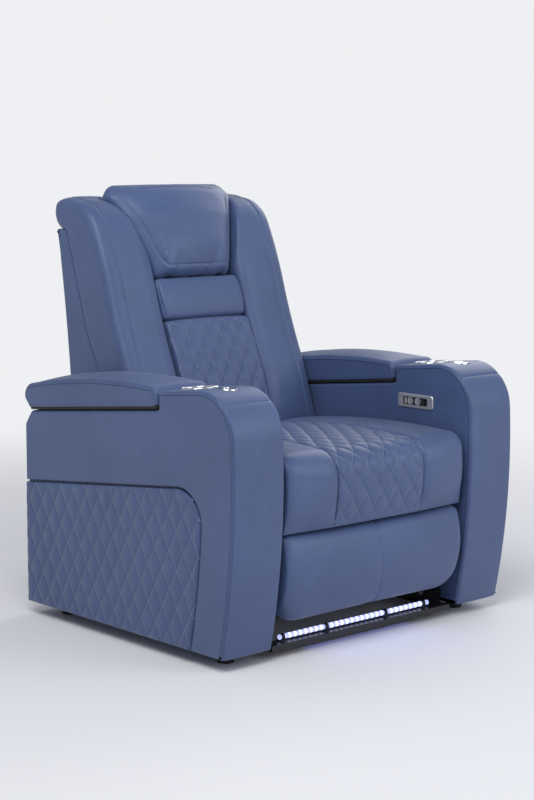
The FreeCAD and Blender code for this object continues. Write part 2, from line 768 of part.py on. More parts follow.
def base_frame():
    """Steel base: two side rails with slide channels, cross tubes and a tray for the supply."""
    inner, outer = rail_bounds()
    top = CHANNEL_Z + CHANNEL_H
    rail = fuse([block(outer - RAIL_WEB, outer, RAIL_FRONT_Y, RAIL_REAR_Y, RAIL_LOW_Z, top),
                 block(inner, outer, RAIL_FRONT_Y, RAIL_REAR_Y, CHANNEL_Z - RAIL_WEB, CHANNEL_Z),
                 block(inner, outer, RAIL_FRONT_Y, RAIL_REAR_Y, top - RAIL_WEB, top),
                 block(inner, outer, RAIL_FRONT_Y, RAIL_REAR_Y, RAIL_LOW_Z, RAIL_LOW_Z + RAIL_WEB)])
    for y in BOLT_Y:
        rail = rail.cut(cross_pin((y, BOLT_Z), outer - 20.0, outer + 10.0, BOLT_R + PIN_FIT))
    cross = []
    low = RAIL_LOW_Z + RAIL_WEB
    for y in CROSS_Y:
        tube = block(-outer + RAIL_WEB, outer - RAIL_WEB, y, y + CROSS_TUBE, low, low + CROSS_TUBE)
        hollow = block(-outer, outer, y + 2.0, y + CROSS_TUBE - 2.0, low + 2.0, low + CROSS_TUBE - 2.0)
        cross.append(tube.cut(hollow))
    tray = block(-90.0, 90.0, CROSS_Y[0] + CROSS_TUBE - 2.0, CROSS_Y[1] + 2.0, low, low + 2.0)
    return fuse([rail, mirrored(rail)] + cross + [tray])


def front_rail():
    """Black cross rail under the footrest, in front of the base."""
    half = rail_bounds()[1] - 8.0
    bar = block(-half, half, FRONT_RAIL_Y, RAIL_FRONT_Y, RAIL_LOW_Z, RAIL_LOW_Z + FRONT_RAIL_H)
    edges = [e for e in bar.Edges if e.BoundBox.XLength > half]
    bar = bar.makeFillet(2.0, edges)
    pin = cross_pin((FRONT_RAIL_Y + 8.0, RAIL_LOW_Z + FRONT_RAIL_H / 2), half, half + 6.0, 4.0)
    end = cross_pin((FRONT_RAIL_Y + 8.0, RAIL_LOW_Z + FRONT_RAIL_H / 2), -half - 6.0, -half, 4.0)
    return fuse([bar, pin, end])


def led_tube():
    """Clear light tube along the front rail."""
    return cross_pin((LED_Y, LED_Z), LED_X[0], LED_X[1], LED_R)


def led_clips():
    """Clips that hold the light tube on the front rail."""
    clips = []
    rail_top = RAIL_LOW_Z + FRONT_RAIL_H
    for x in LED_CLIP_X:
        ring = cross_pin((LED_Y, LED_Z), x - LED_CLIP_W / 2, x + LED_CLIP_W / 2, LED_R + 2.0)
        foot = block(x - LED_CLIP_W / 2, x + LED_CLIP_W / 2, LED_Y - 6.0, LED_Y + 12.0, rail_top, LED_Z - LED_R / 2)
        hole = cross_pin((LED_Y, LED_Z), x - LED_CLIP_W, x + LED_CLIP_W, LED_R)
        clips.append(fuse([ring, foot]).cut(hole))
    return group(clips)


def hexagon(place, radius, x0, x1):
    """Six-sided bar along x, such as a bolt head."""
    corners = [(place[0] + radius * math.cos(math.radians(60 * i)), place[1] + radius * math.sin(math.radians(60 * i)))
               for i in range(6)]
    return prism(corners, x0, x1)


def feet():
    """Round glides under the arms."""
    glides = []
    for x in (ARM_MID, -ARM_MID):
        for y in GLIDE_Y:
            glide = Part.makeCone(GLIDE_R - 5.0, GLIDE_R, FOOT_H, V(x, y, -FOOT_H), V(0, 0, 1))
            glides.append(glide)
    return group(glides)


def arm_bolts():
    """Bolts through the base rails into the arm frames."""
    bolts = []
    inner_web = rail_bounds()[1] - RAIL_WEB
    for y in BOLT_Y:
        shank = cross_pin((y, BOLT_Z), inner_web, ARM_IN + COVER_T + BOARD_T, BOLT_R)
        head = hexagon((y, BOLT_Z), 7.5, inner_web - 5.0, inner_web)
        washer = hexagon((y, BOLT_Z), 9.0, inner_web + RAIL_WEB, ARM_IN)
        bolt = fuse([shank, head, washer])
        bolts += [bolt, mirrored(bolt)]
    return group(bolts)


def power_supply():
    """Sealed supply box on the base tray, with its inlet on the rear face."""
    low = RAIL_LOW_Z + RAIL_WEB + 2.0
    box = block(-80.0, 80.0, 430.0, 520.0, low, low + 42.0)
    upright = [e for e in box.Edges if e.BoundBox.ZLength > 40.0]
    box = box.makeFillet(6.0, upright)
    inlet = block(-14.0, 14.0, 508.0, 522.0, low + 12.0, low + 32.0)
    socket = block(-11.0, 11.0, 510.0, 524.0, low + 15.0, low + 29.0)
    return fuse([box, inlet]).cut(socket)


# Seat and its carriage


def seat_path_mid():
    """Seat side view in the quilted middle: lip, bowed front, nose and top."""
    return [(-28.0, SEAT_LIP_Z), ("via", -43.0, 320.0), (-46.0, 375.0), ("via", -32.0, 417.0), (2.0, 438.0),
            ("via", 240.0, 452.0), (SEAT_REAR_Y - 12.0, 444.0), (SEAT_REAR_Y, 430.0), (SEAT_REAR_Y, SEAT_BASE_Z),
            (-28.0 + SEAT_LIP_T, SEAT_BASE_Z), (-28.0 + SEAT_LIP_T, SEAT_LIP_Z)]


def seat_path_side():
    """Seat side view along the arms, a little further back than the middle."""
    return [(-19.0, SEAT_LIP_Z), ("via", -35.0, 325.0), (-35.0, 390.0), ("via", -23.0, 425.0), (14.0, 438.0),
            ("via", 240.0, 449.0), (SEAT_REAR_Y - 12.0, 441.0), (SEAT_REAR_Y, 428.0), (SEAT_REAR_Y, SEAT_BASE_Z),
            (-28.0 + SEAT_LIP_T, SEAT_BASE_Z), (-28.0 + SEAT_LIP_T, SEAT_LIP_Z)]


SEAT_SOFT = (0, 6)


def seat_cushion():
    """Quilted middle of the seat, running over the front as a waterfall."""
    half = SEAT_MID_HALF - PAD_GAP / 2

    def path_at(share):
        return drawn_in(seat_path_mid(), -SEAT_CROWN * 0.4 * crown(share), *SEAT_SOFT)

    return rolled_loft(-half, half, path_at, SEAT_EDGE_DRAW, 16.0, SEAT_SOFT)


def seat_bolster():
    """Plain side of the seat, for the right side."""

    def path_at(share):
        blend = between(seat_path_mid(), seat_path_side(), share)
        return drawn_in(blend, -SEAT_CROWN * crown(share), *SEAT_SOFT)

    return rolled_loft(SEAT_MID_HALF + PAD_GAP / 2, SEAT_W / 2, path_at, SEAT_EDGE_DRAW, 20.0, SEAT_SOFT)


def seat_frame():
    """Steel tube frame under the cushions, with the actuator cross members."""
    high = SEAT_BASE_Z - SPRING_WIRE - 1.0
    low = high - FRAME_TUBE
    x = PLATE_X
    rear = SEAT_REAR_Y - 10.0
    parts = [block(-x, -x + FRAME_TUBE, FRAME_FRONT_Y, rear, low, high),
             block(x - FRAME_TUBE, x, FRAME_FRONT_Y, rear, low, high),
             block(-x, x, FRAME_FRONT_Y, FRAME_FRONT_Y + FRAME_TUBE, low, high),
             block(-x, x, rear - FRAME_TUBE, rear, low, high)]
    for y in (FRAME_FRONT_Y, rear - FRAME_TUBE):
        parts.append(block(-x + FRAME_TUBE, x - FRAME_TUBE, y, y + FRAME_TUBE, high, SEAT_BASE_Z))
    post = actuator_post()
    parts.append(cross_pin(post, -x, x, 10.0))
    for x0 in (-x, x - 6.0):
        parts.append(block(x0, x0 + 6.0, post[0] - 12.0, post[0] + 12.0, post[1] - 12.0, low))
    return fuse(parts)


def actuator_post():
    """Cross tube in the carriage that both actuators hang on."""
    return (395.0, actuator_height() - 34.0)


def actuator_height():
    """Height of the drive rods, level with both lugs at the ends of their travel."""
    half = RECLINE / 2
    return BACK_PIVOT[1] - RECLINE_LUG_R * math.cos(math.radians(half))


def seat_springs():
    """Sinuous springs from the front to the rear of the seat frame."""
    springs = []
    z0 = SEAT_BASE_Z - SPRING_WIRE - 1.0
    front = FRAME_FRONT_Y + FRAME_TUBE
    rear = SEAT_REAR_Y - 10.0 - FRAME_TUBE
    turns = int((rear - front) / SPRING_PITCH)
    pitch = (rear - front) / turns
    for i in range(SPRING_COUNT):
        x = (i - (SPRING_COUNT - 1) / 2) * SEAT_W / (SPRING_COUNT + 1)
        bars = []
        for k in range(turns):
            y = front + k * pitch
            side = 1 if k % 2 else -1
            bars.append(block(x - SPRING_SPAN / 2, x + SPRING_SPAN / 2, y + pitch - SPRING_WIRE / 2 if k < turns - 1
                              else rear - SPRING_WIRE, y + pitch + SPRING_WIRE / 2 if k < turns - 1 else rear,
                              z0, z0 + SPRING_WIRE))
            edge_x = x + side * (SPRING_SPAN / 2 - SPRING_WIRE / 2)
            bars.append(block(edge_x - SPRING_WIRE / 2, edge_x + SPRING_WIRE / 2, y - SPRING_WIRE / 2 if k else y,
                              y + pitch, z0, z0 + SPRING_WIRE))
        springs.append(fuse(bars))
    return group(springs)


def mechanism_plate():
    """Carriage side plate with the pivots of the footrest and the back, for the right side."""
    x0 = PLATE_X
    x1 = PLATE_X + PLATE_T
    by, bz = BACK_PIVOT
    path = [(105.0, 262.0), ("via", 116.0, 222.0), (150.0, 200.0), (170.0, 60.0), (210.0, 34.0), (600.0, 34.0),
            (612.0, 80.0), (by + 24.0, 300.0), ("via", by, bz + 26.0), (by - 30.0, 300.0), (470.0, 287.0),
            (105.0, 287.0)]
    plate = prism(path, x0, x1)
    for y, half in ((270.0, 40.0), (480.0, 70.0)):
        window = prism([(y - half, 90.0), (y + half, 90.0), ("via", y + half + 25.0, 140.0),
                        (y + half, 190.0), (y - half, 190.0), ("via", y - half - 25.0, 140.0)],
                       x0 - OVER, x1 + OVER)
        plate = plate.cut(window)
    parts = [plate]
    for place, inner in ((FRONT_PIVOT, LINK_X["front"]), (REAR_PIVOT, LINK_X["rear"])):
        parts.append(cross_pin(place, inner, x0, PIN_R))
        parts.append(cross_pin(place, inner - 2.0, inner, PIN_R + 2.0))
    for place, inner in ((FRONT_PIVOT, LINK_X["front"] + LINK_T), (REAR_PIVOT, LINK_X["rear"] + LINK_T)):
        parts.append(cross_pin(place, inner + 0.3, x0, PIN_R + 1.5))
    parts.append(cross_pin(BACK_PIVOT, UPRIGHT_X - 2.0, x0, PIN_R + 1.0))
    parts.append(cross_pin(BACK_PIVOT, UPRIGHT_X - 5.0, UPRIGHT_X - 2.0, PIN_R + 4.0))
    return fuse(parts)


def slide_shoes():
    """Nylon shoes on the carriage that run in the base channels."""
    inner, outer = rail_bounds()
    shoes = []
    x0 = PLATE_X + PLATE_T
    x1 = outer - RAIL_WEB - SHOE_FIT
    z0 = CHANNEL_Z + SHOE_FIT
    z1 = CHANNEL_Z + CHANNEL_H - RAIL_WEB - SHOE_FIT
    for y in SHOE_Y:
        shoe = block(x0, x1, y - SHOE_L / 2, y + SHOE_L / 2, z0, z1)
        shoes += [shoe, mirrored(shoe)]
    return group(shoes)


# Actuators


def level_actuator(x, front_y, rear_y, motor_y):
    """Actuator body along y: tube, gearbox, motor and the strap round the cross tube."""
    z = actuator_height()
    post = actuator_post()
    tube = Part.makeCylinder(15.0, rear_y - front_y, V(x, front_y, z), V(0, 1, 0))
    gearbox = block(x - 22.0, x + 22.0, motor_y - 24.0, motor_y + 24.0, z - 20.0, z + 16.0)
    motor = Part.makeCylinder(20.0, 90.0, V(x, motor_y, z - 18.0), V(0, 0, -1))
    strap = block(x - 12.0, x + 12.0, post[0] - 16.0, post[0] + 16.0, post[1] - 14.0, z)
    body = fuse([tube, gearbox, motor, strap])
    return body.cut(cross_pin(post, x - 40.0, x + 40.0, 10.0))


def yoke_angle():
    """Lean of the footrest lug at rest, half of its whole swing."""
    return math.degrees(-FRONT_SWING) / 2


def yoke_pin():
    """Place of the footrest lug's pin at rest."""
    lean = math.radians(yoke_angle())
    return (FRONT_PIVOT[0] + YOKE_LUG_R * math.sin(lean), FRONT_PIVOT[1] - YOKE_LUG_R * math.cos(lean))


def recline_pin():
    """Place of the back lug's pin at rest."""
    lean = math.radians(RECLINE / 2)
    return (BACK_PIVOT[0] + RECLINE_LUG_R * math.sin(lean), BACK_PIVOT[1] - RECLINE_LUG_R * math.cos(lean))


def footrest_travel():
    """Stroke of the footrest rod."""
    return 2 * YOKE_LUG_R * math.sin(math.radians(yoke_angle()))


def recline_travel():
    """Stroke of the recline rod."""
    return 2 * RECLINE_LUG_R * math.sin(math.radians(RECLINE / 2))


def footrest_motor():
    """Actuator that opens the footrest."""
    body = level_actuator(YOKE_X, FOOT_TUBE_Y[0], FOOT_TUBE_Y[1], 345.0)
    bore = Part.makeCylinder(ROD_R + PIN_FIT, FOOT_TUBE_Y[1] - FOOT_TUBE_Y[0] - TUBE_END,
                             V(YOKE_X, FOOT_TUBE_Y[0], actuator_height()), V(0, 1, 0))
    return body.cut(bore)


def recline_motor():
    """Actuator that tips the back."""
    body = level_actuator(RECLINE_X, BACK_TUBE_Y[0], BACK_TUBE_Y[1], 450.0)
    bore = Part.makeCylinder(ROD_R + PIN_FIT, BACK_TUBE_Y[1] - BACK_TUBE_Y[0] - TUBE_END,
                             V(RECLINE_X, BACK_TUBE_Y[0] + TUBE_END, actuator_height()), V(0, 1, 0))
    return body.cut(bore)


def footrest_rod():
    """Drive rod with the slotted yoke that carries the footrest lug's pin."""
    z = actuator_height()
    py, pz = yoke_pin()
    rod_front = py + 22.0
    rod = Part.makeCylinder(ROD_R, FOOT_TUBE_Y[1] - TUBE_END - OVER - rod_front, V(YOKE_X, rod_front, z), V(0, 1, 0))
    low = FRONT_PIVOT[1] - YOKE_LUG_R - PIN_R - OVER
    high = pz + PIN_R + OVER
    slot_half = PIN_R + YOKE_SLACK
    wall = 6.0
    plate = block(YOKE_X - 14.0, YOKE_X + 14.0, py - slot_half - wall, py + slot_half + wall, low - wall, high + 5.0)
    neck = block(YOKE_X - ROD_R, YOKE_X + ROD_R, py + slot_half, rod_front + 2 * wall, z - ROD_R, z + ROD_R)
    slot = prism([(py - slot_half, low), (py + slot_half, low), (py + slot_half, high), (py - slot_half, high)],
                 YOKE_X - 20.0, YOKE_X + 20.0)
    # The lug leans back over the neck when the rod is out, so the gap opens along its lower edge
    lean = math.radians(90.0 - yoke_angle())
    drop = (LINK_HALF + 4.0) / math.cos(lean)
    rear = py + LINK_HALF + YOKE_SLACK + OVER
    end = py + 52.0
    gap = prism([(py - 40.0, low - 10.0), (rear, low - 10.0),
                 (rear, pz - drop + (rear - py - YOKE_SLACK) * math.tan(lean)),
                 (end, pz - drop + (end - py - YOKE_SLACK) * math.tan(lean)), (end, high + 20.0),
                 (py - 40.0, high + 20.0)], YOKE_X - 4.0, YOKE_X + 4.0)
    return fuse([plate, neck, rod]).cut(slot).cut(gap)


def recline_rod():
    """Drive rod with the slotted eye that holds the back's lug."""
    z = actuator_height()
    py = recline_pin()[0]
    start = BACK_TUBE_Y[0] + TUBE_END + 8.0 + recline_travel()
    rod = Part.makeCylinder(ROD_R, py - 20.0 - start, V(RECLINE_X, start, z), V(0, 1, 0))
    drop = RECLINE_LUG_R * (1 - math.cos(math.radians(RECLINE / 2)))
    eye = block(RECLINE_X - 14.0, RECLINE_X + 14.0, py - 28.0, py + 14.0, z - 16.0, z + 14.0)
    half = PIN_R + EYE_SLACK
    slot = prism([(py - half, z - half - drop), (py + half, z - half - drop), (py + half, z + half),
                  (py - half, z + half)], RECLINE_X - 20.0, RECLINE_X + 20.0)
    gap = block(RECLINE_X - 4.0, RECLINE_X + 4.0, py - 18.0, py + 20.0, z - 20.0, z + 20.0)
    return fuse([rod, eye]).cut(slot).cut(gap)


# Footrest links


def bar_link(start, end, x0, holes):
    """Flat link with round ends; holes are place and radius pairs."""
    dy = end[0] - start[0]
    dz = end[1] - start[1]
    length = math.hypot(dy, dz)
    ny = -dz / length * LINK_HALF
    nz = dy / length * LINK_HALF
    body = prism([(start[0] + ny, start[1] + nz), (end[0] + ny, end[1] + nz), (end[0] - ny, end[1] - nz),
                  (start[0] - ny, start[1] - nz)], x0, x0 + LINK_T)
    link = fuse([body, cross_pin(start, x0, x0 + LINK_T, LINK_HALF), cross_pin(end, x0, x0 + LINK_T, LINK_HALF)])
    for place, radius in holes:
        link = link.cut(cross_pin(place, x0 - OVER, x0 + LINK_T + OVER, radius))
    return link


def link_places():
    """Every pivot of the linkage at rest."""
    upper_pin = reach(FRONT_PIVOT, FRONT_ANGLE, FRONT_LINK)
    lower_pin = reach(FRONT_PIVOT, FRONT_ANGLE, FRONT_LINK_TIP)
    tail = reach(upper_pin, UPPER_ANGLE, -UPPER_TAIL)
    foot = reach(upper_pin, UPPER_ANGLE, UPPER_LINK)
    low_foot = (foot[0] + BRACKET_ARM[0], foot[1] + BRACKET_ARM[1])
    return {"upper_pin": upper_pin, "lower_pin": lower_pin, "tail": tail, "foot": foot, "low_foot": low_foot}


def front_links():
    """Both front links, welded to the torque tube and its drive lug."""
    at = link_places()
    x = LINK_X["front"]
    hole = PIN_R + PIN_FIT
    link = bar_link(FRONT_PIVOT, at["lower_pin"], x,
                    [(FRONT_PIVOT, hole), (at["upper_pin"], hole), (at["lower_pin"], hole)])
    tube = cross_pin(FRONT_PIVOT, -x, x, TORQUE_R)
    for side in (1, -1):
        end0 = min(side * x, side * (x - 3.0))
        tube = tube.cut(cross_pin(FRONT_PIVOT, end0 - OVER, end0 + 3.0 + OVER, PIN_R + 2.5))
    pin = yoke_pin()
    lug = bar_link(FRONT_PIVOT, pin, YOKE_X - LINK_T / 2, [])
    drive = cross_pin(pin, YOKE_X - 13.0, YOKE_X + 13.0, PIN_R)
    return fuse([link, mirrored(link), tube, lug, drive])


def paired(shape):
    """A link and its twin on the other side plate."""
    return group([shape, mirrored(shape)])


def rear_links():
    """Rear links from the side plates to the tails of the upper links."""
    at = link_places()
    return paired(bar_link(REAR_PIVOT, at["tail"], LINK_X["rear"],
                           [(REAR_PIVOT, PIN_R + PIN_FIT), (at["tail"], PIN_R + TAIL_PIN_SLACK)]))


def upper_links():
    """Upper links from the front links out to the footrest brackets, with their pins."""
    at = link_places()
    x = LINK_X["upper"]
    link = bar_link(at["tail"], at["foot"], x, [(at["foot"], PIN_R + PIN_FIT)])
    front_pin = cross_pin(at["upper_pin"], x, LINK_X["front"] + LINK_T, PIN_R)
    front_cap = cross_pin(at["upper_pin"], LINK_X["front"] + LINK_T, LINK_X["front"] + LINK_T + 1.5, PIN_R + 2.0)
    tail_pin = cross_pin(at["tail"], LINK_X["rear"], x, PIN_R)
    tail_cap = cross_pin(at["tail"], LINK_X["rear"] - 1.5, LINK_X["rear"], PIN_R + 3.0)
    return paired(fuse([link, front_pin, front_cap, tail_pin, tail_cap]))


def lower_links():
    """Lower links that turn the footrest level as it comes out, with their pins."""
    at = link_places()
    x = LINK_X["lower"]
    end = reach(at["lower_pin"], LOWER_ANGLE, LOWER_LINK)
    body = bar_link(at["lower_pin"], end, x, [])
    eye = cross_pin(end, x, x + LINK_T, PIN_R + OPEN_PIN_SLACK + 5.0)
    hole = cross_pin(end, x - OVER, x + LINK_T + OVER, PIN_R + OPEN_PIN_SLACK)
    pin = cross_pin(at["lower_pin"], LINK_X["front"], x, PIN_R)
    cap = cross_pin(at["lower_pin"], LINK_X["front"] - 1.2, LINK_X["front"], PIN_R + 1.5)
    return paired(fuse([fuse([body, eye]).cut(hole), pin, cap]))


def footrest_board():
    """Board behind the footrest pad with the two link brackets."""
    at = link_places()
    x = LINK_X["front"]
    y0 = FOOT_BACK_Y
    y1 = FOOT_BACK_Y + FOOT_BOARD_T
    board = block(-FOOT_HALF + 14.0, FOOT_HALF - 14.0, y0, y1, FOOT_BOARD_LOW, FOOT_BOARD_HIGH)
    foot = at["foot"]
    low = at["low_foot"]
    path = [(y1, foot[1] + 14.0), (foot[0], foot[1] + 11.0), ("via", foot[0] + 11.0, foot[1]),
            (low[0] + 10.0, low[1] + 4.0), ("via", low[0] + 6.0, low[1] - 8.0), (low[0] - 2.0, low[1] - 11.0),
            (y1, low[1] - 22.0)]
    ear = prism(path, x, x + LINK_T)
    flange = block(x - 26.0, x + LINK_T, y1, y1 + 3.0, low[1] - 22.0, foot[1] + 14.0)
    upper_pin = cross_pin(foot, LINK_X["upper"], x, PIN_R)
    upper_cap = cross_pin(foot, LINK_X["upper"] - 1.5, LINK_X["upper"], PIN_R + 2.0)
    lower_pin = cross_pin(low, x + LINK_T, LINK_X["lower"] + LINK_T, PIN_R)
    bracket = fuse([ear, flange, upper_pin, upper_cap, lower_pin])
    return fuse([board, bracket, mirrored(bracket)])


def foot_path(front, lift):
    """Footrest pad side view; front moves its face forwards, lift raises its lower edge."""
    return [(FOOT_BACK_Y, 50.0 + lift), ("via", -4.0 - front * 0.6, 58.0 + lift * 0.9),
            (-22.0 - front, 84.0 + lift * 0.6), ("via", -36.5 - front, 165.0), (-27.0 - front * 0.8, 238.0),
            ("via", -17.0, 254.0), (4.0, 258.0), (FOOT_BACK_Y, 258.0)]


def footrest_pad():
    """Padded footrest front, with the sewn seam down its middle."""

    def path_at(share):
        across = FOOT_HALF * min(share, 1 - share) * 2
        corner = max(0.0, 1 - across / FOOT_CORNER_RUN)
        return foot_path(FOOT_CROWN * crown(share), FOOT_CORNER_LIFT * corner ** 2 + 4.0 * crown(share))

    pad = rolled_loft(-FOOT_HALF, FOOT_HALF, path_at, 12.0, 26.0, (1, 5))
    mid = path_at(0.5)
    seam = prism(drawn_in(mid, -4.0, 1, 5), -1.5, 1.5).cut(prism(drawn_in(mid, 2.5, 0, 6), -2.0, 2.0))
    pad = pad.cut(seam)
    return max(pad.Solids, key=lambda s: s.Volume)


# Back


def wing_front():
    """Front of the back wings in side view, from the seat to the top."""
    return [(489.0, 412.0), ("via", 501.0, 490.0), (531.0, 579.0), ("via", 566.0, 663.0), (598.0, 753.0),
            ("via", 636.0, 864.0), (667.0, 934.0), ("via", 705.0, 976.0), (767.0, 995.0)]


def seam_line():
    """Line where the upholstery meets the rear shell, from the top down."""
    return [(782.0, 916.0), (740.0, 783.0), (703.0, 666.0), (653.0, 572.0), (612.0, 440.0)]


def wing_path():
    """Whole side view of a wing, wrapping over the top of the rear shell."""
    top = [("via", 815.0, 1000.0), (840.0, 990.0), ("via", 847.0, 955.0), (825.0, 918.0)]
    return wing_front() + top + seam_line() + [(590.0, 400.0), (500.0, 396.0)]


def head_outline(grow, rear0, rear1):
    """Headrest block, wider at its top, square to the back; grow adds its clearance."""
    low = -HEAD_ROUND_R - grow
    left = []
    for half, height in zip(HEAD_HALVES, HEAD_HEIGHTS):
        left.append((half + grow, low + height + (grow if height else 0)))
    left[-1] = (left[-1][0], left[-1][1] + grow)
    places = left + [(-x, up) for x, up in reversed(left)]
    corners = []
    for x, up in places:
        y, z = back_place(HEAD_PIVOT, rear0, up)
        corners.append(V(x, y, z))
    face = Part.Face(Part.makePolygon(corners + [corners[0]]))
    direction = V(0, REARWARD[0], REARWARD[1])
    return face.extrude(direction * (rear1 - rear0))


def wing():
    """Side bolster of the back, for the right side."""
    path = wing_path()
    body = rolled_loft(CORE_HALF + PAD_GAP, BACK_HALF, lambda share: path, WING_DRAW, WING_ROLL, (1, 12))
    return body.cut(head_outline(HEAD_GAP, -120.0, HEAD_T))


def core_path():
    """Side view of the middle of the back behind the lumbar panel and the headrest."""
    rear_of_lumbar = LUMBAR_T + PAD_GAP
    lumbar_low = back_place(LUMBAR_TOP, rear_of_lumbar, -LUMBAR_H - 3.0)
    lumbar_high = back_place(LUMBAR_TOP, rear_of_lumbar, 1.5)
    band_low = back_place(LUMBAR_TOP, 0, 1.5)
    head_low = -HEAD_ROUND_R - 1.5
    band_high = back_place(HEAD_PIVOT, -HEAD_ROUND_R + 10.0, head_low)
    band_mid = back_place(HEAD_PIVOT, -HEAD_ROUND_R + 2.0, head_low - 52.0)
    head_rear = HEAD_T - HEAD_ROUND_R + 1.5
    step = back_place(HEAD_PIVOT, head_rear, head_low)
    crest = back_place(HEAD_PIVOT, head_rear, 180.0)
    top = [(crest[0] + 22.0, crest[1] + 14.0), ("via", 834.0, 976.0), (825.0, 918.0)]
    return [lumbar_low, lumbar_high, band_low, ("via", band_mid[0], band_mid[1]), band_high, step, crest] + top \
        + seam_line() + [(590.0, 400.0)]


def back_core():
    """Middle pad of the back, with the plain band between lumbar panel and headrest."""
    body = prism(core_path(), -CORE_HALF, CORE_HALF)
    channel = back_block(HEAD_PIVOT, -24.0, 24.0, 20.0, 220.0, -230.0, 60.0)
    lumbar_hole = back_block(LUMBAR_TOP, -24.0, 24.0, 40.0, 240.0, -240.0, -110.0)
    for cutter in (channel, lumbar_hole):
        body = body.cut(cutter)
    for x in (-HINGE_ARM_X, HINGE_ARM_X):
        body = body.cut(back_block(HEAD_PIVOT, x - 9.0, x + 9.0, 0.0, 220.0, -30.0, 60.0))
    return max(body.Solids, key=lambda s: s.Volume)


def shell_path(inset):
    """Side view of the rear shell, drawn in by inset at the rear, top and bottom."""
    front = [(x, z) for x, z in reversed(seam_line())]
    return [(652.0, SHELL_LOW_Z + inset)] + [front[0]] + front[1:-1] + [
        (front[-1][0], front[-1][1] - 3.0 - inset), (822.0 - inset, 912.0 - inset),
        ("via", 786.0 - inset, 600.0), (766.0 - inset, SHELL_LOW_Z + inset)]


def back_shell():
    """Rear cover of the back, open towards the upholstery."""
    outer = prism(shell_path(0), -SHELL_HALF, SHELL_HALF)
    room = prism(shell_path(SHELL_T), -SHELL_HALF + SHELL_T, SHELL_HALF - SHELL_T)
    front_room = room.copy()
    front_room.translate(V(0, -14.0, 0))
    return outer.cut(room).cut(front_room)


def upright():
    """Steel side plate of the back frame, for the right side."""
    x0 = UPRIGHT_X
    x1 = UPRIGHT_X + UPRIGHT_T
    y, z = BACK_PIVOT
    front = [(y + 34.0, z + 110.0), (664.0, 580.0), (710.0, 670.0), (744.0, 760.0), (786.0, 890.0)]
    rear = [(802.0, 890.0), (779.0, 770.0), (768.0, 670.0), (757.0, 560.0), (y + 62.0, z + 70.0), (y + 24.0, z - 10.0)]
    path = [(y - 20.0, z), ("via", y, z - 20.0)] + list(reversed(rear)) + list(reversed(front)) + [(y - 12.0, z + 22.0)]
    plate = prism(path, x0, x1)
    return plate.cut(cross_pin(BACK_PIVOT, x0 - OVER, x1 + OVER, PIN_R + 1.0 + PIN_FIT))


FRAME_TUBES = ((676.0, 562.0), (762.0, 770.0), (790.0, 872.0))


def back_frame():
    """Back frame: side plates, cross tubes, headrest hinge arms and the drive lug."""
    plate = upright()
    parts = [plate, mirrored(plate)]
    shell_wall = SHELL_HALF - SHELL_T - PIN_FIT
    for place in FRAME_TUBES:
        parts.append(cross_pin(place, -shell_wall, shell_wall, BACK_TUBE_R))
    low_tube = (BACK_PIVOT[0] + 22.0, BACK_PIVOT[1] + 24.0)
    parts.append(cross_pin(low_tube, -UPRIGHT_X, UPRIGHT_X, BACK_TUBE_R))
    pin = recline_pin()
    lug = prism([(low_tube[0] - 10.0, low_tube[1]), (pin[0] - 9.0, pin[1]), ("via", pin[0], pin[1] - 9.0),
                 (pin[0] + 9.0, pin[1]), (low_tube[0] + 12.0, low_tube[1])], RECLINE_X - 3.0, RECLINE_X + 3.0)
    parts.append(lug)
    parts.append(cross_pin(pin, RECLINE_X - 13.0, RECLINE_X + 13.0, PIN_R))
    for x in (HINGE_ARM_X, -HINGE_ARM_X):
        parts.append(bar_link(HEAD_PIVOT, FRAME_TUBES[1], x - 2.0, [(HEAD_PIVOT, PIN_R + PIN_FIT)]))
    return fuse(parts)


def lumbar_pad():
    """Quilted lumbar cushion."""
    low = back_place(LUMBAR_TOP, 0, -LUMBAR_H)
    half = CORE_HALF - 2.0
    top_rear = back_place(LUMBAR_TOP, LUMBAR_T - 6.0, 0)
    low_rear = back_place(LUMBAR_TOP, LUMBAR_T - 6.0, -LUMBAR_H)
    top_front = back_place(LUMBAR_TOP, 12.0, 0)
    low_front = back_place(LUMBAR_TOP, 12.0, -LUMBAR_H)
    mid = back_place(LUMBAR_TOP, -LUMBAR_CROWN, -LUMBAR_H / 2)
    high_mid = back_place(LUMBAR_TOP, 1.0, -4.0)
    low_mid = back_place(LUMBAR_TOP, 1.0, -LUMBAR_H + 4.0)
    high = back_place(LUMBAR_TOP, -2.0, -14.0)
    lower = back_place(LUMBAR_TOP, -2.0, -LUMBAR_H + 14.0)
    path = [low_rear, low_front, ("via", low_mid[0], low_mid[1]), lower, ("via", mid[0], mid[1]), high,
            ("via", high_mid[0], high_mid[1]), top_front, top_rear]

    def path_at(share):
        return drawn_in(path, -3.0 * crown(share), 3, 5)

    return rolled_loft(-half, half, path_at, 9.0, 16.0, (2, 6))


def lumbar_plate():
    """Lumbar backing plate with its push rod."""
    plate = back_block(LUMBAR_TOP, -CORE_HALF + 8.0, CORE_HALF - 8.0, LUMBAR_T - 6.0, LUMBAR_T - 1.0,
                       -LUMBAR_H + 10.0, -10.0)
    rod = back_bar(LUMBAR_TOP, 0, LUMBAR_T - 2.0, LUMBAR_T + 60.0, -LUMBAR_ROD_DROP, 7.0)
    return fuse([plate, rod])


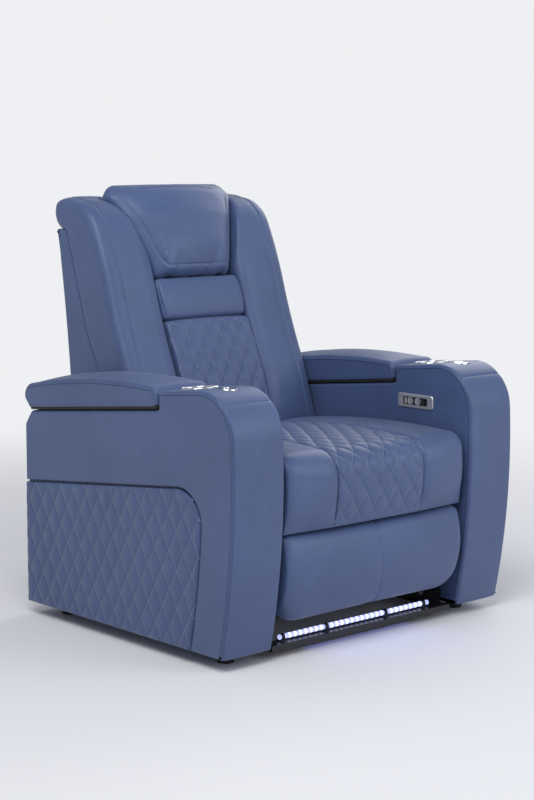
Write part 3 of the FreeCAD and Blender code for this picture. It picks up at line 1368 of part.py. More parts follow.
def lumbar_motor():
    """Lumbar actuator, hung on the back frame's lower tube."""
    start = LUMBAR_T + 26.0
    body = back_bar(LUMBAR_TOP, 0, start, start + 52.0, -LUMBAR_ROD_DROP, 14.0)
    motor = back_post(LUMBAR_TOP, 0, start + 32.0, -LUMBAR_ROD_DROP - 70.0, -LUMBAR_ROD_DROP, 15.0)
    tube = FRAME_TUBES[0]
    clamp_low = cross_pin(tube, -14.0, 14.0, 14.0)
    link = prism([(tube[0] - 10.0, tube[1] - 8.0), (tube[0] + 12.0, tube[1] - 8.0),
                  back_place(LUMBAR_TOP, start + 40.0, -LUMBAR_ROD_DROP), back_place(LUMBAR_TOP, start + 12.0,
                                                                                     -LUMBAR_ROD_DROP)],
                 -8.0, 8.0)
    body = fuse([body, motor, clamp_low, link])
    body = body.cut(back_bar(LUMBAR_TOP, 0, 0, start + 40.0, -LUMBAR_ROD_DROP, 7.0 + PIN_FIT))
    return body.cut(cross_pin(tube, -40.0, 40.0, BACK_TUBE_R))


# Headrest


def head_travel():
    """Stroke of the headrest rod."""
    return 2 * HEAD_LUG_R * math.sin(math.radians(HEAD_TILT / 2))


def head_lug():
    """Rear and up distances of the headrest lug's pin from its pivot, at rest."""
    lean = math.radians(HEAD_TILT / 2)
    return (HEAD_LUG_R * math.cos(lean), -HEAD_LUG_R * math.sin(lean))


def head_section(up, half, front, rear, belly):
    """Cross-section of the headrest square to its height: flat rear, bulging sides and face."""
    side = half - 5.0

    def at(x, back):
        y, z = back_place(HEAD_PIVOT, back, up)
        return V(x, y, z)

    deep = front + (rear - front) * 0.28
    edges = [Part.LineSegment(at(-side, rear), at(side, rear)).toShape(),
             Part.Arc(at(side, rear), at(half, (deep + rear) / 2), at(side, deep)).toShape(),
             Part.Arc(at(side, deep), at(0, front - belly), at(-side, deep)).toShape(),
             Part.Arc(at(-side, deep), at(-half, (deep + rear) / 2), at(-side, rear)).toShape()]
    return Part.Wire(edges)


def headrest_pad():
    """Headrest cushion, wider at its top, with slots for its hinge arms."""
    r = HEAD_ROUND_R
    rear = HEAD_T - r
    top = HEAD_H - r
    low_half, mid_half, high_half, top_half = HEAD_HALVES
    rows = [(-r + 1.0, low_half - 6.0, -2.0, rear - 5.0, 1.0), (-r * 0.55, low_half, -r * 0.62, rear - 1.5, 1.5),
            (0.0, low_half + 4.0, -r + 3.0, rear, 3.0), (70.0, (low_half + mid_half) / 2, -r, rear, 9.0),
            (HEAD_HEIGHTS[1] - r, mid_half, -r + 1.0, rear, 9.0),
            (HEAD_HEIGHTS[2] - r, high_half, -6.0, rear - 1.0, 6.0),
            (top - 8.0, top_half + 8.0, 8.0, rear - 12.0, 3.0), (top, top_half - 6.0, 20.0, rear - 24.0, 1.0)]
    body = Part.makeLoft([head_section(*row) for row in rows], True, True)
    for x in (HINGE_ARM_X, -HINGE_ARM_X):
        body = body.cut(back_block(HEAD_PIVOT, x - 9.0, x + 9.0, -13.0, HEAD_T, -HEAD_ROUND_R - 3.0, HEAD_SLOT_UP))
    body = body.cut(back_block(HEAD_PIVOT, -20.0, 20.0, 10.0, HEAD_T, -HEAD_ROUND_R - 3.0, HEAD_SLOT_UP))
    seat = HEAD_PLATE_T + BOARD_GAP
    return body.cut(back_block(HEAD_PIVOT, -HEAD_PLATE_HALF - OVER, HEAD_PLATE_HALF + OVER, rear - seat, HEAD_T,
                               HEAD_PLATE_UP[0] - OVER, HEAD_PLATE_UP[1] + OVER))


def headrest_bracket():
    """Headrest plate with its hinge ears, pins and the drive lug."""
    rear = HEAD_T - HEAD_ROUND_R
    plate = back_block(HEAD_PIVOT, -HEAD_PLATE_HALF, HEAD_PLATE_HALF, rear - HEAD_PLATE_T, rear, *HEAD_PLATE_UP)
    parts = [plate]
    for side in (1, -1):
        x = side * HINGE_ARM_X
        ear0 = min(x + side * 2.5, x + side * 6.5)
        path = [back_place(HEAD_PIVOT, rear - 5.0, 70.0), back_place(HEAD_PIVOT, rear, 50.0),
                back_place(HEAD_PIVOT, 9.0, -4.0), back_place(HEAD_PIVOT, -7.0, -7.0),
                back_place(HEAD_PIVOT, -8.0, 9.0), back_place(HEAD_PIVOT, rear - 22.0, 70.0)]
        parts.append(prism(path, ear0, ear0 + 4.0))
        pin0 = min(x - side * 4.5, x + side * 3.0)
        pin1 = max(x - side * 4.5, x + side * 3.0)
        parts.append(cross_pin(HEAD_PIVOT, pin0, pin1, PIN_R))
        tie0 = min(x + side * 2.5, x + side * 6.5)
        parts.append(back_block(HEAD_PIVOT, tie0, tie0 + 4.0, rear - 5.0, rear, 50.0, 70.0))
    lug_rear, lug_up = head_lug()
    for x in (-9.0, 9.0):
        path = [back_place(HEAD_PIVOT, rear - 14.0, 72.0), back_place(HEAD_PIVOT, rear, 72.0),
                back_place(HEAD_PIVOT, rear, lug_up + 4.0), back_place(HEAD_PIVOT, lug_rear + 4.0, lug_up - 8.0),
                back_place(HEAD_PIVOT, lug_rear - 8.0, lug_up - 6.0), back_place(HEAD_PIVOT, rear - 20.0, 30.0)]
        parts.append(prism(path, x - 2.0, x + 2.0))
    parts.append(cross_pin(back_place(HEAD_PIVOT, lug_rear, lug_up), -9.0, 9.0, 4.0))
    return fuse(parts)


def headrest_rod():
    """Headrest drive rod with its slotted eye."""
    lug_rear, lug_up = head_lug()
    slack = HEAD_LUG_R - lug_rear
    eye = back_block(HEAD_PIVOT, -6.0, 6.0, lug_rear - 10.0, lug_rear + 10.0 + slack, lug_up - 9.0, lug_up + 9.0)
    slot = back_block(HEAD_PIVOT, -9.0, 9.0, lug_rear - 4.8, lug_rear + 4.8 + slack, lug_up - 4.8, lug_up + 4.8)
    rod = back_post(HEAD_PIVOT, 0, lug_rear, lug_up - 100.0, lug_up - 5.0, 6.0)
    return fuse([rod, eye]).cut(slot)


def headrest_motor():
    """Headrest actuator in the channel behind the middle pad."""
    lug_rear, lug_up = head_lug()
    top = lug_up - 45.0
    body = back_post(HEAD_PIVOT, 0, lug_rear, top - 70.0, top, 12.0)
    motor = back_post(HEAD_PIVOT, 0, lug_rear + 26.0, top - 100.0, top - 30.0, 15.0)
    tube = FRAME_TUBES[1]
    clamp_ring = cross_pin(tube, -10.0, 10.0, 14.0)
    start = back_place(HEAD_PIVOT, lug_rear, top - 30.0)
    link = prism([(tube[0] - 6.0, tube[1] - 8.0), (tube[0] + 6.0, tube[1] - 10.0), (start[0] + 20.0, start[1] - 10.0),
                  (start[0], start[1])], -6.0, 6.0)
    solid = fuse([body, motor, clamp_ring, link])
    solid = solid.cut(back_post(HEAD_PIVOT, 0, lug_rear, top - 66.0, top + 10.0, 6.0 + PIN_FIT))
    return solid.cut(cross_pin(tube, -40.0, 40.0, BACK_TUBE_R))


# The whole chair


def nodes():
    """Every piece by name, in datum axes."""
    cover = arm_cover(False)
    pieces = {
        "base_frame": base_frame(),
        "front_rail": front_rail(),
        "led_tube": led_tube(),
        "led_clips": led_clips(),
        "feet": feet(),
        "arm_bolts": arm_bolts(),
        "power_supply": power_supply(),
        "right_arm_cover": arm_cover(True),
        "left_arm_cover": mirrored(cover),
        "right_arm_frame": arm_frame(True),
        "left_arm_frame": mirrored(arm_frame(False)),
        "control_bezel": control_bezel(),
        "control_housing": control_housing(),
        "recline_rocker": rocker(ROCKER_Y[0]),
        "headrest_rocker": rocker(ROCKER_Y[1]),
        "home_button": push_button(),
        "seat_frame": seat_frame(),
        "seat_springs": seat_springs(),
        "seat_cushion": seat_cushion(),
        "cup_rings": paired(cup_ring()),
        "lid_hinges": paired(lid_hinge()),
        "slide_shoes": slide_shoes(),
        "footrest_motor": footrest_motor(),
        "footrest_rod": footrest_rod(),
        "recline_motor": recline_motor(),
        "recline_rod": recline_rod(),
        "front_links": front_links(),
        "rear_links": rear_links(),
        "upper_links": upper_links(),
        "lower_links": lower_links(),
        "footrest_board": footrest_board(),
        "footrest_pad": footrest_pad(),
        "back_frame": back_frame(),
        "back_shell": back_shell(),
        "back_core": back_core(),
        "lumbar_pad": lumbar_pad(),
        "lumbar_plate": lumbar_plate(),
        "lumbar_motor": lumbar_motor(),
        "headrest_pad": headrest_pad(),
        "headrest_bracket": headrest_bracket(),
        "headrest_rod": headrest_rod(),
        "headrest_motor": headrest_motor(),
    }
    twins = {
        "side_panel": side_panel(),
        "storage_bin": storage_bin(),
        "cup_holder": cup_holder(),
        "tray_socket": tray_socket(),
        "mechanism_plate": mechanism_plate(),
        "lid_board": lid_board(),
        "lid_pad": lid_pad(),
        "seat_bolster": seat_bolster(),
        "wing": wing(),
    }
    for name, shape in twins.items():
        pieces["right_" + name] = shape
        pieces["left_" + name] = mirrored(shape)
    return pieces


FRONT_REACH_Y = -47.7
REAR_REACH_Y = 847.5
ORIGIN_Y = (FRONT_REACH_Y + REAR_REACH_Y) / 2


def main():
    """Write one file per piece, with the origin on the floor under the middle of the chair."""
    os.makedirs("parts", exist_ok=True)
    for name, shape in nodes().items():
        shape.translate(V(0, -ORIGIN_Y, FOOT_H))
        shape.exportStep(os.path.join("parts", name + ".step"))
        box = shape.BoundBox
        print(name, len(shape.Solids), shape.isValid(), round(shape.Volume / 1000.0, 1),
              [round(v) for v in (box.XMin, box.YMin, box.ZMin, box.XMax, box.YMax, box.ZMax)])


if __name__ == "__main__":
    main()
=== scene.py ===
"""The visible surfaces of a powered cinema recliner seat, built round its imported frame."""

import json
import logging
import math
from collections.abc import Callable, Iterator, Sequence
from contextlib import contextmanager
from dataclasses import dataclass, field
from enum import Enum

import bmesh
import bpy
import numpy as np
from mathutils import Matrix, Vector
from mathutils.bvhtree import BVHTree
from mathutils.kdtree import KDTree


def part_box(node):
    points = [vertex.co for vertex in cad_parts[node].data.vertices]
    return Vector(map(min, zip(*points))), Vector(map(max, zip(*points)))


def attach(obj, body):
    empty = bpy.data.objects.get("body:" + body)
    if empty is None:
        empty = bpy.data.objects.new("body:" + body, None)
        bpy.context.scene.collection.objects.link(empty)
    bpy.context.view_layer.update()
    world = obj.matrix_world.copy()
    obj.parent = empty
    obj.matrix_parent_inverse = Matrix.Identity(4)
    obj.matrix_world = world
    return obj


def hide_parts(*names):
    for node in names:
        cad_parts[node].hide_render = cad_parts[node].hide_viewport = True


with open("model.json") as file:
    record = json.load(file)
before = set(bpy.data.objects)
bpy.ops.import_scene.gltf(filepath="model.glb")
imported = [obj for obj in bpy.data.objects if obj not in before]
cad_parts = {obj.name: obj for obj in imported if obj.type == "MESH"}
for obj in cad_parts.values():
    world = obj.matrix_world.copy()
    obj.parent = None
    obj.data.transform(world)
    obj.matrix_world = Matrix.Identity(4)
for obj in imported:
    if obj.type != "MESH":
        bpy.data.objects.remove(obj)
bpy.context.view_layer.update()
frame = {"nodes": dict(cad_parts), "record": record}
LOG = logging.getLogger("recliner")

# The drawing's millimetres have y back from the arms' front lower corner and z up from the arms' underside
ORIGIN_Y = 399.9
FLOOR_Z = 30.0
MM = 0.001

ARM_IN, ARM_OUT, ARM_MID = 307.0, 457.0, 382.0
SLOPE = math.radians(6.0)
LEAN = math.radians(22.4)
UP = (math.sin(LEAN), math.cos(LEAN))
REARWARD = (math.cos(LEAN), -math.sin(LEAN))
LUMBAR_TOP = (587.0, 695.0)
HEAD_PIVOT = (645.0, 815.0)
LEDGE = (217.0, 536.0)
ARM_REAR_Y = 745.0
ARM_TOP_Z = 578.0
BELLY, BELLY_Z = 43.0, 390.0
BELLY_R = (BELLY_Z ** 2 + BELLY ** 2) / (2 * BELLY)
NOSE_R = 110.0

# Edges of meshes, in metres
MERGE = 1e-6
CAP_INSET = 0.0025

CLOTH_FRAMES = 16

# Share of a round's radius where a path turns inwards, and share of a side that a round may take
HOLLOW_SHARE = 0.33
SIDE_SHARE = 0.45

Place = tuple[float, float]


class Body(Enum):
    """The moving bodies that pieces ride on."""

    BASE = "base"
    CARRIAGE = "carriage"
    FOOTREST = "footrest"
    BACKREST = "backrest"
    LUMBAR = "lumbar"
    HEADREST = "headrest"
    LEFT_LID = "left_lid"
    RIGHT_LID = "right_lid"


class Side(Enum):
    """Which arm a piece belongs to."""

    RIGHT = 1
    LEFT = -1

    @property
    def word(self) -> str:
        """The side's name in lower case."""
        return self.name.lower()


# Places and side-view paths


def spot(x: float, y: float, z: float) -> Vector:
    """A drawing place as a point of the scene.

    Args:
        x: Across, in millimetres.
        y: Back, in millimetres.
        z: Up, in millimetres.

    Returns:
        The point in metres.
    """
    return Vector((x * MM, (y - ORIGIN_Y) * MM, (z + FLOOR_Z) * MM))


def to_scene(points: np.ndarray) -> np.ndarray:
    """Drawing points, as rows of x, y, z in millimetres, in the scene's metres."""
    moved = points.astype(float).copy()
    moved[..., 1] -= ORIGIN_Y
    moved[..., 2] += FLOOR_Z
    return moved * MM


def back_place(origin: Place, rear: float, up: float) -> Place:
    """A place rear and up from an origin, in axes that lean with the back."""
    return origin[0] + rear * REARWARD[0] + up * UP[0], origin[1] + rear * REARWARD[1] + up * UP[1]


def back_axes(co: np.ndarray, origin: Place) -> tuple[np.ndarray, np.ndarray]:
    """How far rear and up from an origin scene points lie, in millimetres, in the same axes."""
    y, z = co[:, 1] / MM + ORIGIN_Y - origin[0], co[:, 2] / MM - FLOOR_Z - origin[1]
    return y * REARWARD[0] + z * REARWARD[1], y * UP[0] + z * UP[1]


def ledge_place(u: float, v: float) -> Place:
    """A place u back and v up from the front of the arm's ledge, along its slope."""
    across, up = math.cos(SLOPE), math.sin(SLOPE)
    return LEDGE[0] + u * across + v * up, LEDGE[1] - u * up + v * across


def top_height(y: float) -> float:
    """Height of the arm's straight top at y."""
    return ARM_TOP_Z + (LEDGE[0] - y) * math.tan(SLOPE)


def arc(start: Place, through: Place, end: Place, step: float) -> list[Place]:
    """Points of the arc through three places, without its start.

    Args:
        start: Where the arc begins.
        through: A place on the arc.
        end: Where it ends.
        step: Spacing of the points.

    Returns:
        The points up to and including the end.
    """
    (ax, ay), (bx, by), (cx, cy) = start, through, end
    d = 2 * (ax * (by - cy) + bx * (cy - ay) + cx * (ay - by))
    if abs(d) < 1e-6:
        return [end]
    ux = ((ax * ax + ay * ay) * (by - cy) + (bx * bx + by * by) * (cy - ay) + (cx * cx + cy * cy) * (ay - by)) / d
    uy = ((ax * ax + ay * ay) * (cx - bx) + (bx * bx + by * by) * (ax - cx) + (cx * cx + cy * cy) * (bx - ax)) / d
    r = math.hypot(ax - ux, ay - uy)
    a0, a1, a2 = (math.atan2(p[1] - uy, p[0] - ux) for p in (start, through, end))
    sweep = (a2 - a0) % math.tau
    if (a1 - a0) % math.tau > sweep:
        sweep -= math.tau
    count = max(2, int(abs(sweep) * r / step))
    return [(ux + r * math.cos(a0 + sweep * i / count), uy + r * math.sin(a0 + sweep * i / count))
            for i in range(1, count + 1)]


def traced(entries: Sequence[tuple], step: float = 4.0) -> np.ndarray:
    """A path with arcs as points; a 'via' entry is the middle of an arc to the entry after it.

    Args:
        entries: Corners, and ("via", y, z) entries.
        step: Spacing of the arcs' points.

    Returns:
        The points, as rows of y and z.
    """
    points = [tuple(entries[0])]
    i = 1
    while i < len(entries):
        if entries[i][0] == "via":
            points += arc(points[-1], entries[i][1:], entries[i + 1], step)
            i += 2
        else:
            points.append(tuple(entries[i]))
            i += 1
    return np.array(points, float)


def rounded(points: np.ndarray, radius: float, least: float = 0.35, segments: int = 6) -> np.ndarray:
    """A closed path with its sharp corners rounded, those that turn inwards to a third of the radius.

    Args:
        points: The path's corners.
        radius: Radius of the round.
        least: Turns under this angle, in radians, are left alone.
        segments: Steps along each round.

    Returns:
        The rounded path.
    """
    out = []
    n = len(points)
    area = float(np.sum(points[:, 0] * np.roll(points[:, 1], -1) - np.roll(points[:, 0], -1) * points[:, 1]))
    for i in range(n):
        p, a, b = points[i], points[i - 1] - points[i], points[(i + 1) % n] - points[i]
        la, lb = np.hypot(*a), np.hypot(*b)
        turn = math.pi - math.acos(max(-1.0, min(1.0, float(a @ b) / (la * lb))))
        if turn < least:
            out.append(p)
            continue
        hollow = (b[0] * a[1] - b[1] * a[0]) * area < 0
        cut = min(radius * (HOLLOW_SHARE if hollow else 1.0) * math.tan(turn / 2), la * SIDE_SHARE, lb * SIDE_SHARE)
        s, e = p + a / la * cut, p + b / lb * cut
        for k in range(segments + 1):
            t = k / segments
            out.append((1 - t) ** 2 * s + 2 * t * (1 - t) * p + t * t * e)
    return np.array(out)


def ring(points: np.ndarray) -> np.ndarray:
    """A closed path with its first point again at its end."""
    return np.vstack([points, points[:1]])


def run_of(line: np.ndarray) -> np.ndarray:
    """Distance along a line at each of its points."""
    return np.append(0, np.cumsum(np.hypot(*np.diff(line, axis=0).T)))


def spaced(line: np.ndarray, count: int) -> np.ndarray:
    """The ends of a number of even steps along a line."""
    run = run_of(line)
    at = np.linspace(0, run[-1], count + 1)
    return np.column_stack([np.interp(at, run, column) for column in line.T])


def resampled(points: np.ndarray, step: float, closed: bool = True) -> np.ndarray:
    """A path's points at an even spacing.

    Args:
        points: The path.
        step: The spacing.
        closed: Whether the last point joins the first.

    Returns:
        The new points; a closed path doesn't repeat its first.
    """
    line = ring(points) if closed else points
    line = line[np.append(True, np.hypot(*np.diff(line, axis=0).T) > MERGE)]
    new = spaced(line, max(8, int(round(run_of(line)[-1] / step))))
    return new[:-1] if closed else new


def inset(points: np.ndarray, distance: float | np.ndarray) -> np.ndarray:
    """A closed path moved inwards, square to itself.

    Args:
        points: The path.
        distance: How far it moves, as one number or one for each point.

    Returns:
        The moved path.
    """
    tangent = np.roll(points, -1, axis=0) - np.roll(points, 1, axis=0)
    tangent /= np.hypot(*tangent.T)[:, None]
    y, z = points.T
    area = float(np.sum(y * np.roll(z, -1) - np.roll(y, -1) * z))
    inward = np.column_stack([-tangent[:, 1], tangent[:, 0]]) * (1 if area > 0 else -1)
    return points + inward * np.reshape(np.asarray(distance, float), (-1, 1))


def crown(share: float) -> float:
    """Rise of a pad across its width, from 0 at the ends to 1 in the middle."""
    return 1 - (2 * share - 1) ** 2


def ramp(values: np.ndarray, zero: float, one: float) -> np.ndarray:
    """Shares that rise from 0 to 1 as the values go from one number to another."""
    return np.clip((values - zero) / (one - zero), 0, 1)


# Meshes


def new_object(name: str, mesh: bpy.types.Mesh) -> bpy.types.Object:
    """An object in the scene that holds a mesh."""
    obj = bpy.data.objects.new(name, mesh)
    bpy.context.scene.collection.objects.link(obj)
    return obj


def from_bmesh(name: str, bm: bmesh.types.BMesh, sharp_deg: float = 60.0) -> bpy.types.Object:
    """Turns a bmesh into a smooth-shaded object and frees it.

    Args:
        name: The object's name.
        bm: The finished bmesh.
        sharp_deg: Edges that turn by more than this stay sharp.

    Returns:
        The object.
    """
    mesh = bpy.data.meshes.new(name)
    bm.to_mesh(mesh)
    bm.free()
    smooth(mesh, sharp_deg)
    return new_object(name, mesh)


def smooth(mesh: bpy.types.Mesh, sharp_deg: float) -> None:
    """Shades a mesh smooth but for its sharp edges."""
    mesh.polygons.foreach_set("use_smooth", np.ones(len(mesh.polygons), bool))
    mesh.set_sharp_from_angle(angle=math.radians(sharp_deg))
    mesh.update()


@contextmanager
def edited(obj: bpy.types.Object) -> Iterator[bmesh.types.BMesh]:
    """An object's mesh as a bmesh, which is written back at the end of the block.

    Args:
        obj: The object.

    Returns:
        The bmesh, for the block alone.
    """
    bm = bmesh.new()
    bm.from_mesh(obj.data)
    yield bm
    bm.to_mesh(obj.data)
    bm.free()


def vectors(items: bpy.types.bpy_prop_collection, name: str = "co") -> np.ndarray:
    """A vector property of a mesh's items, as rows."""
    flat = np.empty(len(items) * 3)
    items.foreach_get(name, flat)
    return flat.reshape(-1, 3)


def set_points(mesh: bpy.types.Mesh, places: np.ndarray) -> None:
    """Moves a mesh's vertices to new places."""
    mesh.vertices.foreach_set("co", places.ravel())
    mesh.update()


def big_faces(bm: bmesh.types.BMesh) -> list[bmesh.types.BMFace]:
    """The faces with more than four corners."""
    return [face for face in bm.faces if len(face.verts) > 4]


def grid_skin(name: str, points: np.ndarray, uv: np.ndarray, closed: bool, capped: bool,
              sharp_deg: float = 60.0) -> bpy.types.Object:
    """A grid bent to rows of points.

    Args:
        name: The object's name.
        points: Scene points, rows by columns by 3.
        uv: Surface coordinates in metres, rows by columns by 2.
        closed: Whether the last column meets the first.
        capped: Whether the open ends are filled.
        sharp_deg: Edges that turn by more than this stay sharp.

    Returns:
        The object.
    """
    rows, cols = points.shape[:2]
    bm = bmesh.new()
    bmesh.ops.create_grid(bm, x_segments=cols - 1, y_segments=rows - 1, size=1.0)
    layer = bm.loops.layers.uv.new("UVMap")
    places = [(int(round((v.co.y + 1) / 2 * (rows - 1))), int(round((v.co.x + 1) / 2 * (cols - 1))))
              for v in bm.verts]
    bm.verts.index_update()
    for face in bm.faces:
        for loop in face.loops:
            loop[layer].uv = uv[places[loop.vert.index]]
    for v, place in zip(bm.verts, places):
        v.co = points[place]
    if closed:
        bmesh.ops.remove_doubles(bm, verts=bm.verts, dist=MERGE)
    if capped:
        ends = bmesh.ops.holes_fill(bm, edges=[e for e in bm.edges if e.is_boundary], sides=0)["faces"]
        bmesh.ops.inset_individual(bm, faces=ends, thickness=CAP_INSET, use_even_offset=True)
    bmesh.ops.recalc_face_normals(bm, faces=bm.faces)
    return from_bmesh(name, bm, sharp_deg)


def swept(name: str, stations: Sequence[tuple[float, np.ndarray]], sharp_deg: float = 60.0) -> bpy.types.Object:
    """A closed pad from side-view paths of one length set at rising x.

    Args:
        name: The object's name.
        stations: Pairs of x and path, in drawing millimetres.
        sharp_deg: Edges that turn by more than this stay sharp.

    Returns:
        The object, with u across and v along the path, in metres.
    """
    run = run_of(ring(stations[len(stations) // 2][1])) * MM
    points = np.array([[(x, y, z) for y, z in ring(path)] for x, path in stations])
    uv = np.array([[(x * MM, v) for v in run] for x, _ in stations])
    return grid_skin(name, to_scene(points), uv, True, True, sharp_deg)


def evaluated(obj: bpy.types.Object) -> bpy.types.Object:
    """Applies an object's modifiers to its mesh.

    Args:
        obj: The object.

    Returns:
        The same object.
    """
    graph = bpy.context.evaluated_depsgraph_get()
    graph.update()
    mesh = bpy.data.meshes.new_from_object(obj.evaluated_get(graph), depsgraph=graph)
    old = obj.data
    obj.modifiers.clear()
    obj.data = mesh
    bpy.data.meshes.remove(old)
    mesh.name = obj.name
    return obj


def carved(obj: bpy.types.Object, cutters: Sequence[bpy.types.Object]) -> bpy.types.Object:
    """Takes cutters out of an object and removes them from the scene.

    Args:
        obj: The object.
        cutters: Closed solids.

    Returns:
        The same object.
    """
    for cutter in cutters:
        mod = obj.modifiers.new("cut", "BOOLEAN")
        mod.operation = "DIFFERENCE"
        mod.solver = "EXACT"
        mod.object = cutter
        cutter.hide_render = True
    evaluated(obj)
    for cutter in cutters:
        bpy.data.objects.remove(cutter)
    with edited(obj) as bm:
        bmesh.ops.triangulate(bm, faces=big_faces(bm))
    return obj


def mirrored_copy(obj: bpy.types.Object, name: str) -> bpy.types.Object:
    """The same piece for the other side of the chair.

    Args:
        obj: The piece.
        name: The new object's name.

    Returns:
        The new object.
    """
    bm = bmesh.new()
    bm.from_mesh(obj.data)
    bmesh.ops.scale(bm, vec=(-1, 1, 1), verts=bm.verts)
    bmesh.ops.reverse_faces(bm, faces=bm.faces)
    return from_bmesh(name, bm)


def prism(name: str, path: np.ndarray, x0: float, x1: float) -> bpy.types.Object:
    """A side-view path carried across.

    Args:
        name: The object's name.
        path: The path, in drawing millimetres.
        x0: Where it starts.
        x1: Where it ends.

    Returns:
        The object.
    """
    bm = bmesh.new()
    face = bm.faces.new([bm.verts.new(spot(x0, y, z)) for y, z in path])
    made = bmesh.ops.extrude_face_region(bm, geom=[face])["geom"]
    moved = [item for item in made if isinstance(item, bmesh.types.BMVert)]
    bmesh.ops.translate(bm, vec=((x1 - x0) * MM, 0, 0), verts=moved)
    bmesh.ops.recalc_face_normals(bm, faces=bm.faces)
    return from_bmesh(name, bm, 30)


def turned(name: str, profile: Sequence[Place], base: Vector, axis: Vector, steps: int = 64) -> bpy.types.Object:
    """A profile of radius and height spun round an axis.

    Args:
        name: The object's name.
        profile: Radius and height pairs, in millimetres, in order.
        base: Where height 0 is.
        axis: Direction of rising height.
        steps: Steps of the whole turn.

    Returns:
        The object.
    """
    bm = bmesh.new()
    verts = [bm.verts.new((r * MM, 0, h * MM)) for r, h in profile]
    edges = [bm.edges.new(pair) for pair in zip(verts, verts[1:])]
    bmesh.ops.spin(bm, geom=verts + edges, cent=(0, 0, 0), axis=(0, 0, 1), angle=math.tau, steps=steps, use_merge=True)
    bmesh.ops.remove_doubles(bm, verts=bm.verts, dist=MERGE)
    bmesh.ops.holes_fill(bm, edges=[e for e in bm.edges if e.is_boundary], sides=0)
    bmesh.ops.recalc_face_normals(bm, faces=bm.faces)
    turn = axis.to_track_quat("Z", "Y").to_matrix().to_4x4()
    bmesh.ops.transform(bm, matrix=Matrix.Translation(base) @ turn, verts=bm.verts)
    return from_bmesh(name, bm, 35)


def corded(name: str, lines: Sequence[Sequence[Vector]], radius: float = 0.0006) -> bpy.types.Object:
    """Thin round cords along lines, all in one mesh.

    Args:
        name: The object's name.
        lines: The lines, in scene metres.
        radius: The cords' radius.

    Returns:
        The object.
    """
    curve = bpy.data.curves.new(name, "CURVE")
    curve.dimensions = "3D"
    curve.bevel_depth = radius
    curve.bevel_resolution = 1
    curve.use_fill_caps = True
    for line in lines:
        spline = curve.splines.new("POLY")
        spline.points.add(len(line) - 1)
        for point, place in zip(spline.points, line):
            point.co = (*place, 1.0)
    source = new_object(name, curve)
    mesh = bpy.data.meshes.new_from_object(source)
    bpy.data.objects.remove(source)
    bpy.data.curves.remove(curve)
    smooth(mesh, 80)
    return new_object(name, mesh)


def cad_copy(node: str, name: str, voxel_mm: float, filler: Sequence[Matrix] = ()) -> bpy.types.Object:
    """A remeshed copy of a CAD solid, to be shaped as a pad.

    Args:
        node: The CAD node.
        name: The new object's name.
        voxel_mm: Edge length of the new mesh.
        filler: Places of unit cubes that close the solid's slots.

    Returns:
        The object.
    """
    bm = bmesh.new()
    bm.from_mesh(frame["nodes"][node].data)
    bmesh.ops.remove_doubles(bm, verts=bm.verts, dist=1e-5)
    for matrix in filler:
        bmesh.ops.create_cube(bm, size=1.0, matrix=matrix)
    obj = from_bmesh(name, bm)
    mod = obj.modifiers.new("remesh", "REMESH")
    mod.mode = "VOXEL"
    mod.voxel_size = voxel_mm * MM
    mod.use_smooth_shade = True
    return evaluated(obj)


def relaxed(obj: bpy.types.Object, rounds: int) -> bpy.types.Object:
    """Softens a piece's edges by smoothing its mesh.

    Args:
        obj: The piece.
        rounds: How many times it is smoothed.

    Returns:
        The piece.
    """
    with edited(obj) as bm:
        for _ in range(rounds):
            bmesh.ops.smooth_vert(bm, verts=bm.verts, factor=0.5, use_axis_x=True, use_axis_y=True, use_axis_z=True)
    obj.data.update()
    return obj


def shifted(obj: bpy.types.Object, move: Callable[[np.ndarray], np.ndarray]) -> bpy.types.Object:
    """Moves each vertex along its normal.

    Args:
        obj: The piece.
        move: Gives the distances, in metres, from the vertices' places.

    Returns:
        The piece.
    """
    co, normal = vectors(obj.data.vertices), vectors(obj.data.vertices, "normal")
    set_points(obj.data, co + normal * move(co)[:, None])
    return obj


def inflated(obj: bpy.types.Object, cap_mm: float, pressure: float = 4.0,
             held: Callable[[np.ndarray], np.ndarray] | None = None) -> bpy.types.Object:
    """Fills a pad by cloth simulation, and limits how far a point moves.

    Args:
        obj: The pad.
        cap_mm: Farthest that a point may move.
        pressure: Pressure of the filling.
        held: Gives a share from 0 to 1 of the move that each point keeps, from the points.

    Returns:
        The pad with the result in its mesh.
    """
    rest = vectors(obj.data.vertices)
    settings = obj.modifiers.new("cloth", "CLOTH").settings
    settings.effector_weights.gravity = 0
    for name, value in {"use_pressure": True, "uniform_pressure_force": pressure, "quality": 4, "tension_stiffness": 12,
                        "compression_stiffness": 12, "bending_stiffness": 0.6}.items():
        setattr(settings, name, value)
    for step in range(1, CLOTH_FRAMES + 1):
        bpy.context.scene.frame_set(step)
    graph = bpy.context.evaluated_depsgraph_get()
    moved = vectors(obj.evaluated_get(graph).to_mesh().vertices)
    obj.evaluated_get(graph).to_mesh_clear()
    obj.modifiers.clear()
    bpy.context.scene.frame_set(1)
    delta = moved - rest
    length = np.linalg.norm(delta, axis=1)
    cap = cap_mm * MM
    scale = np.where(length > 1e-9, cap * np.tanh(length / cap) / np.maximum(length, 1e-9), 0)
    if held is not None:
        scale = scale * held(rest)
    set_points(obj.data, rest + delta * scale[:, None])
    return obj


# Seams and stitches


@dataclass
class Seam:
    """A sewn line: a valley in the leather and the stitches beside it.

    The line is in scene metres; offsets are stitch rows, to the left of its run when positive.
    """

    line: list[Vector]
    depth: float = 0.0016
    width: float = 0.0022
    offsets: tuple[float, ...] = (0.0045,)
    pitch: float = 0.0058


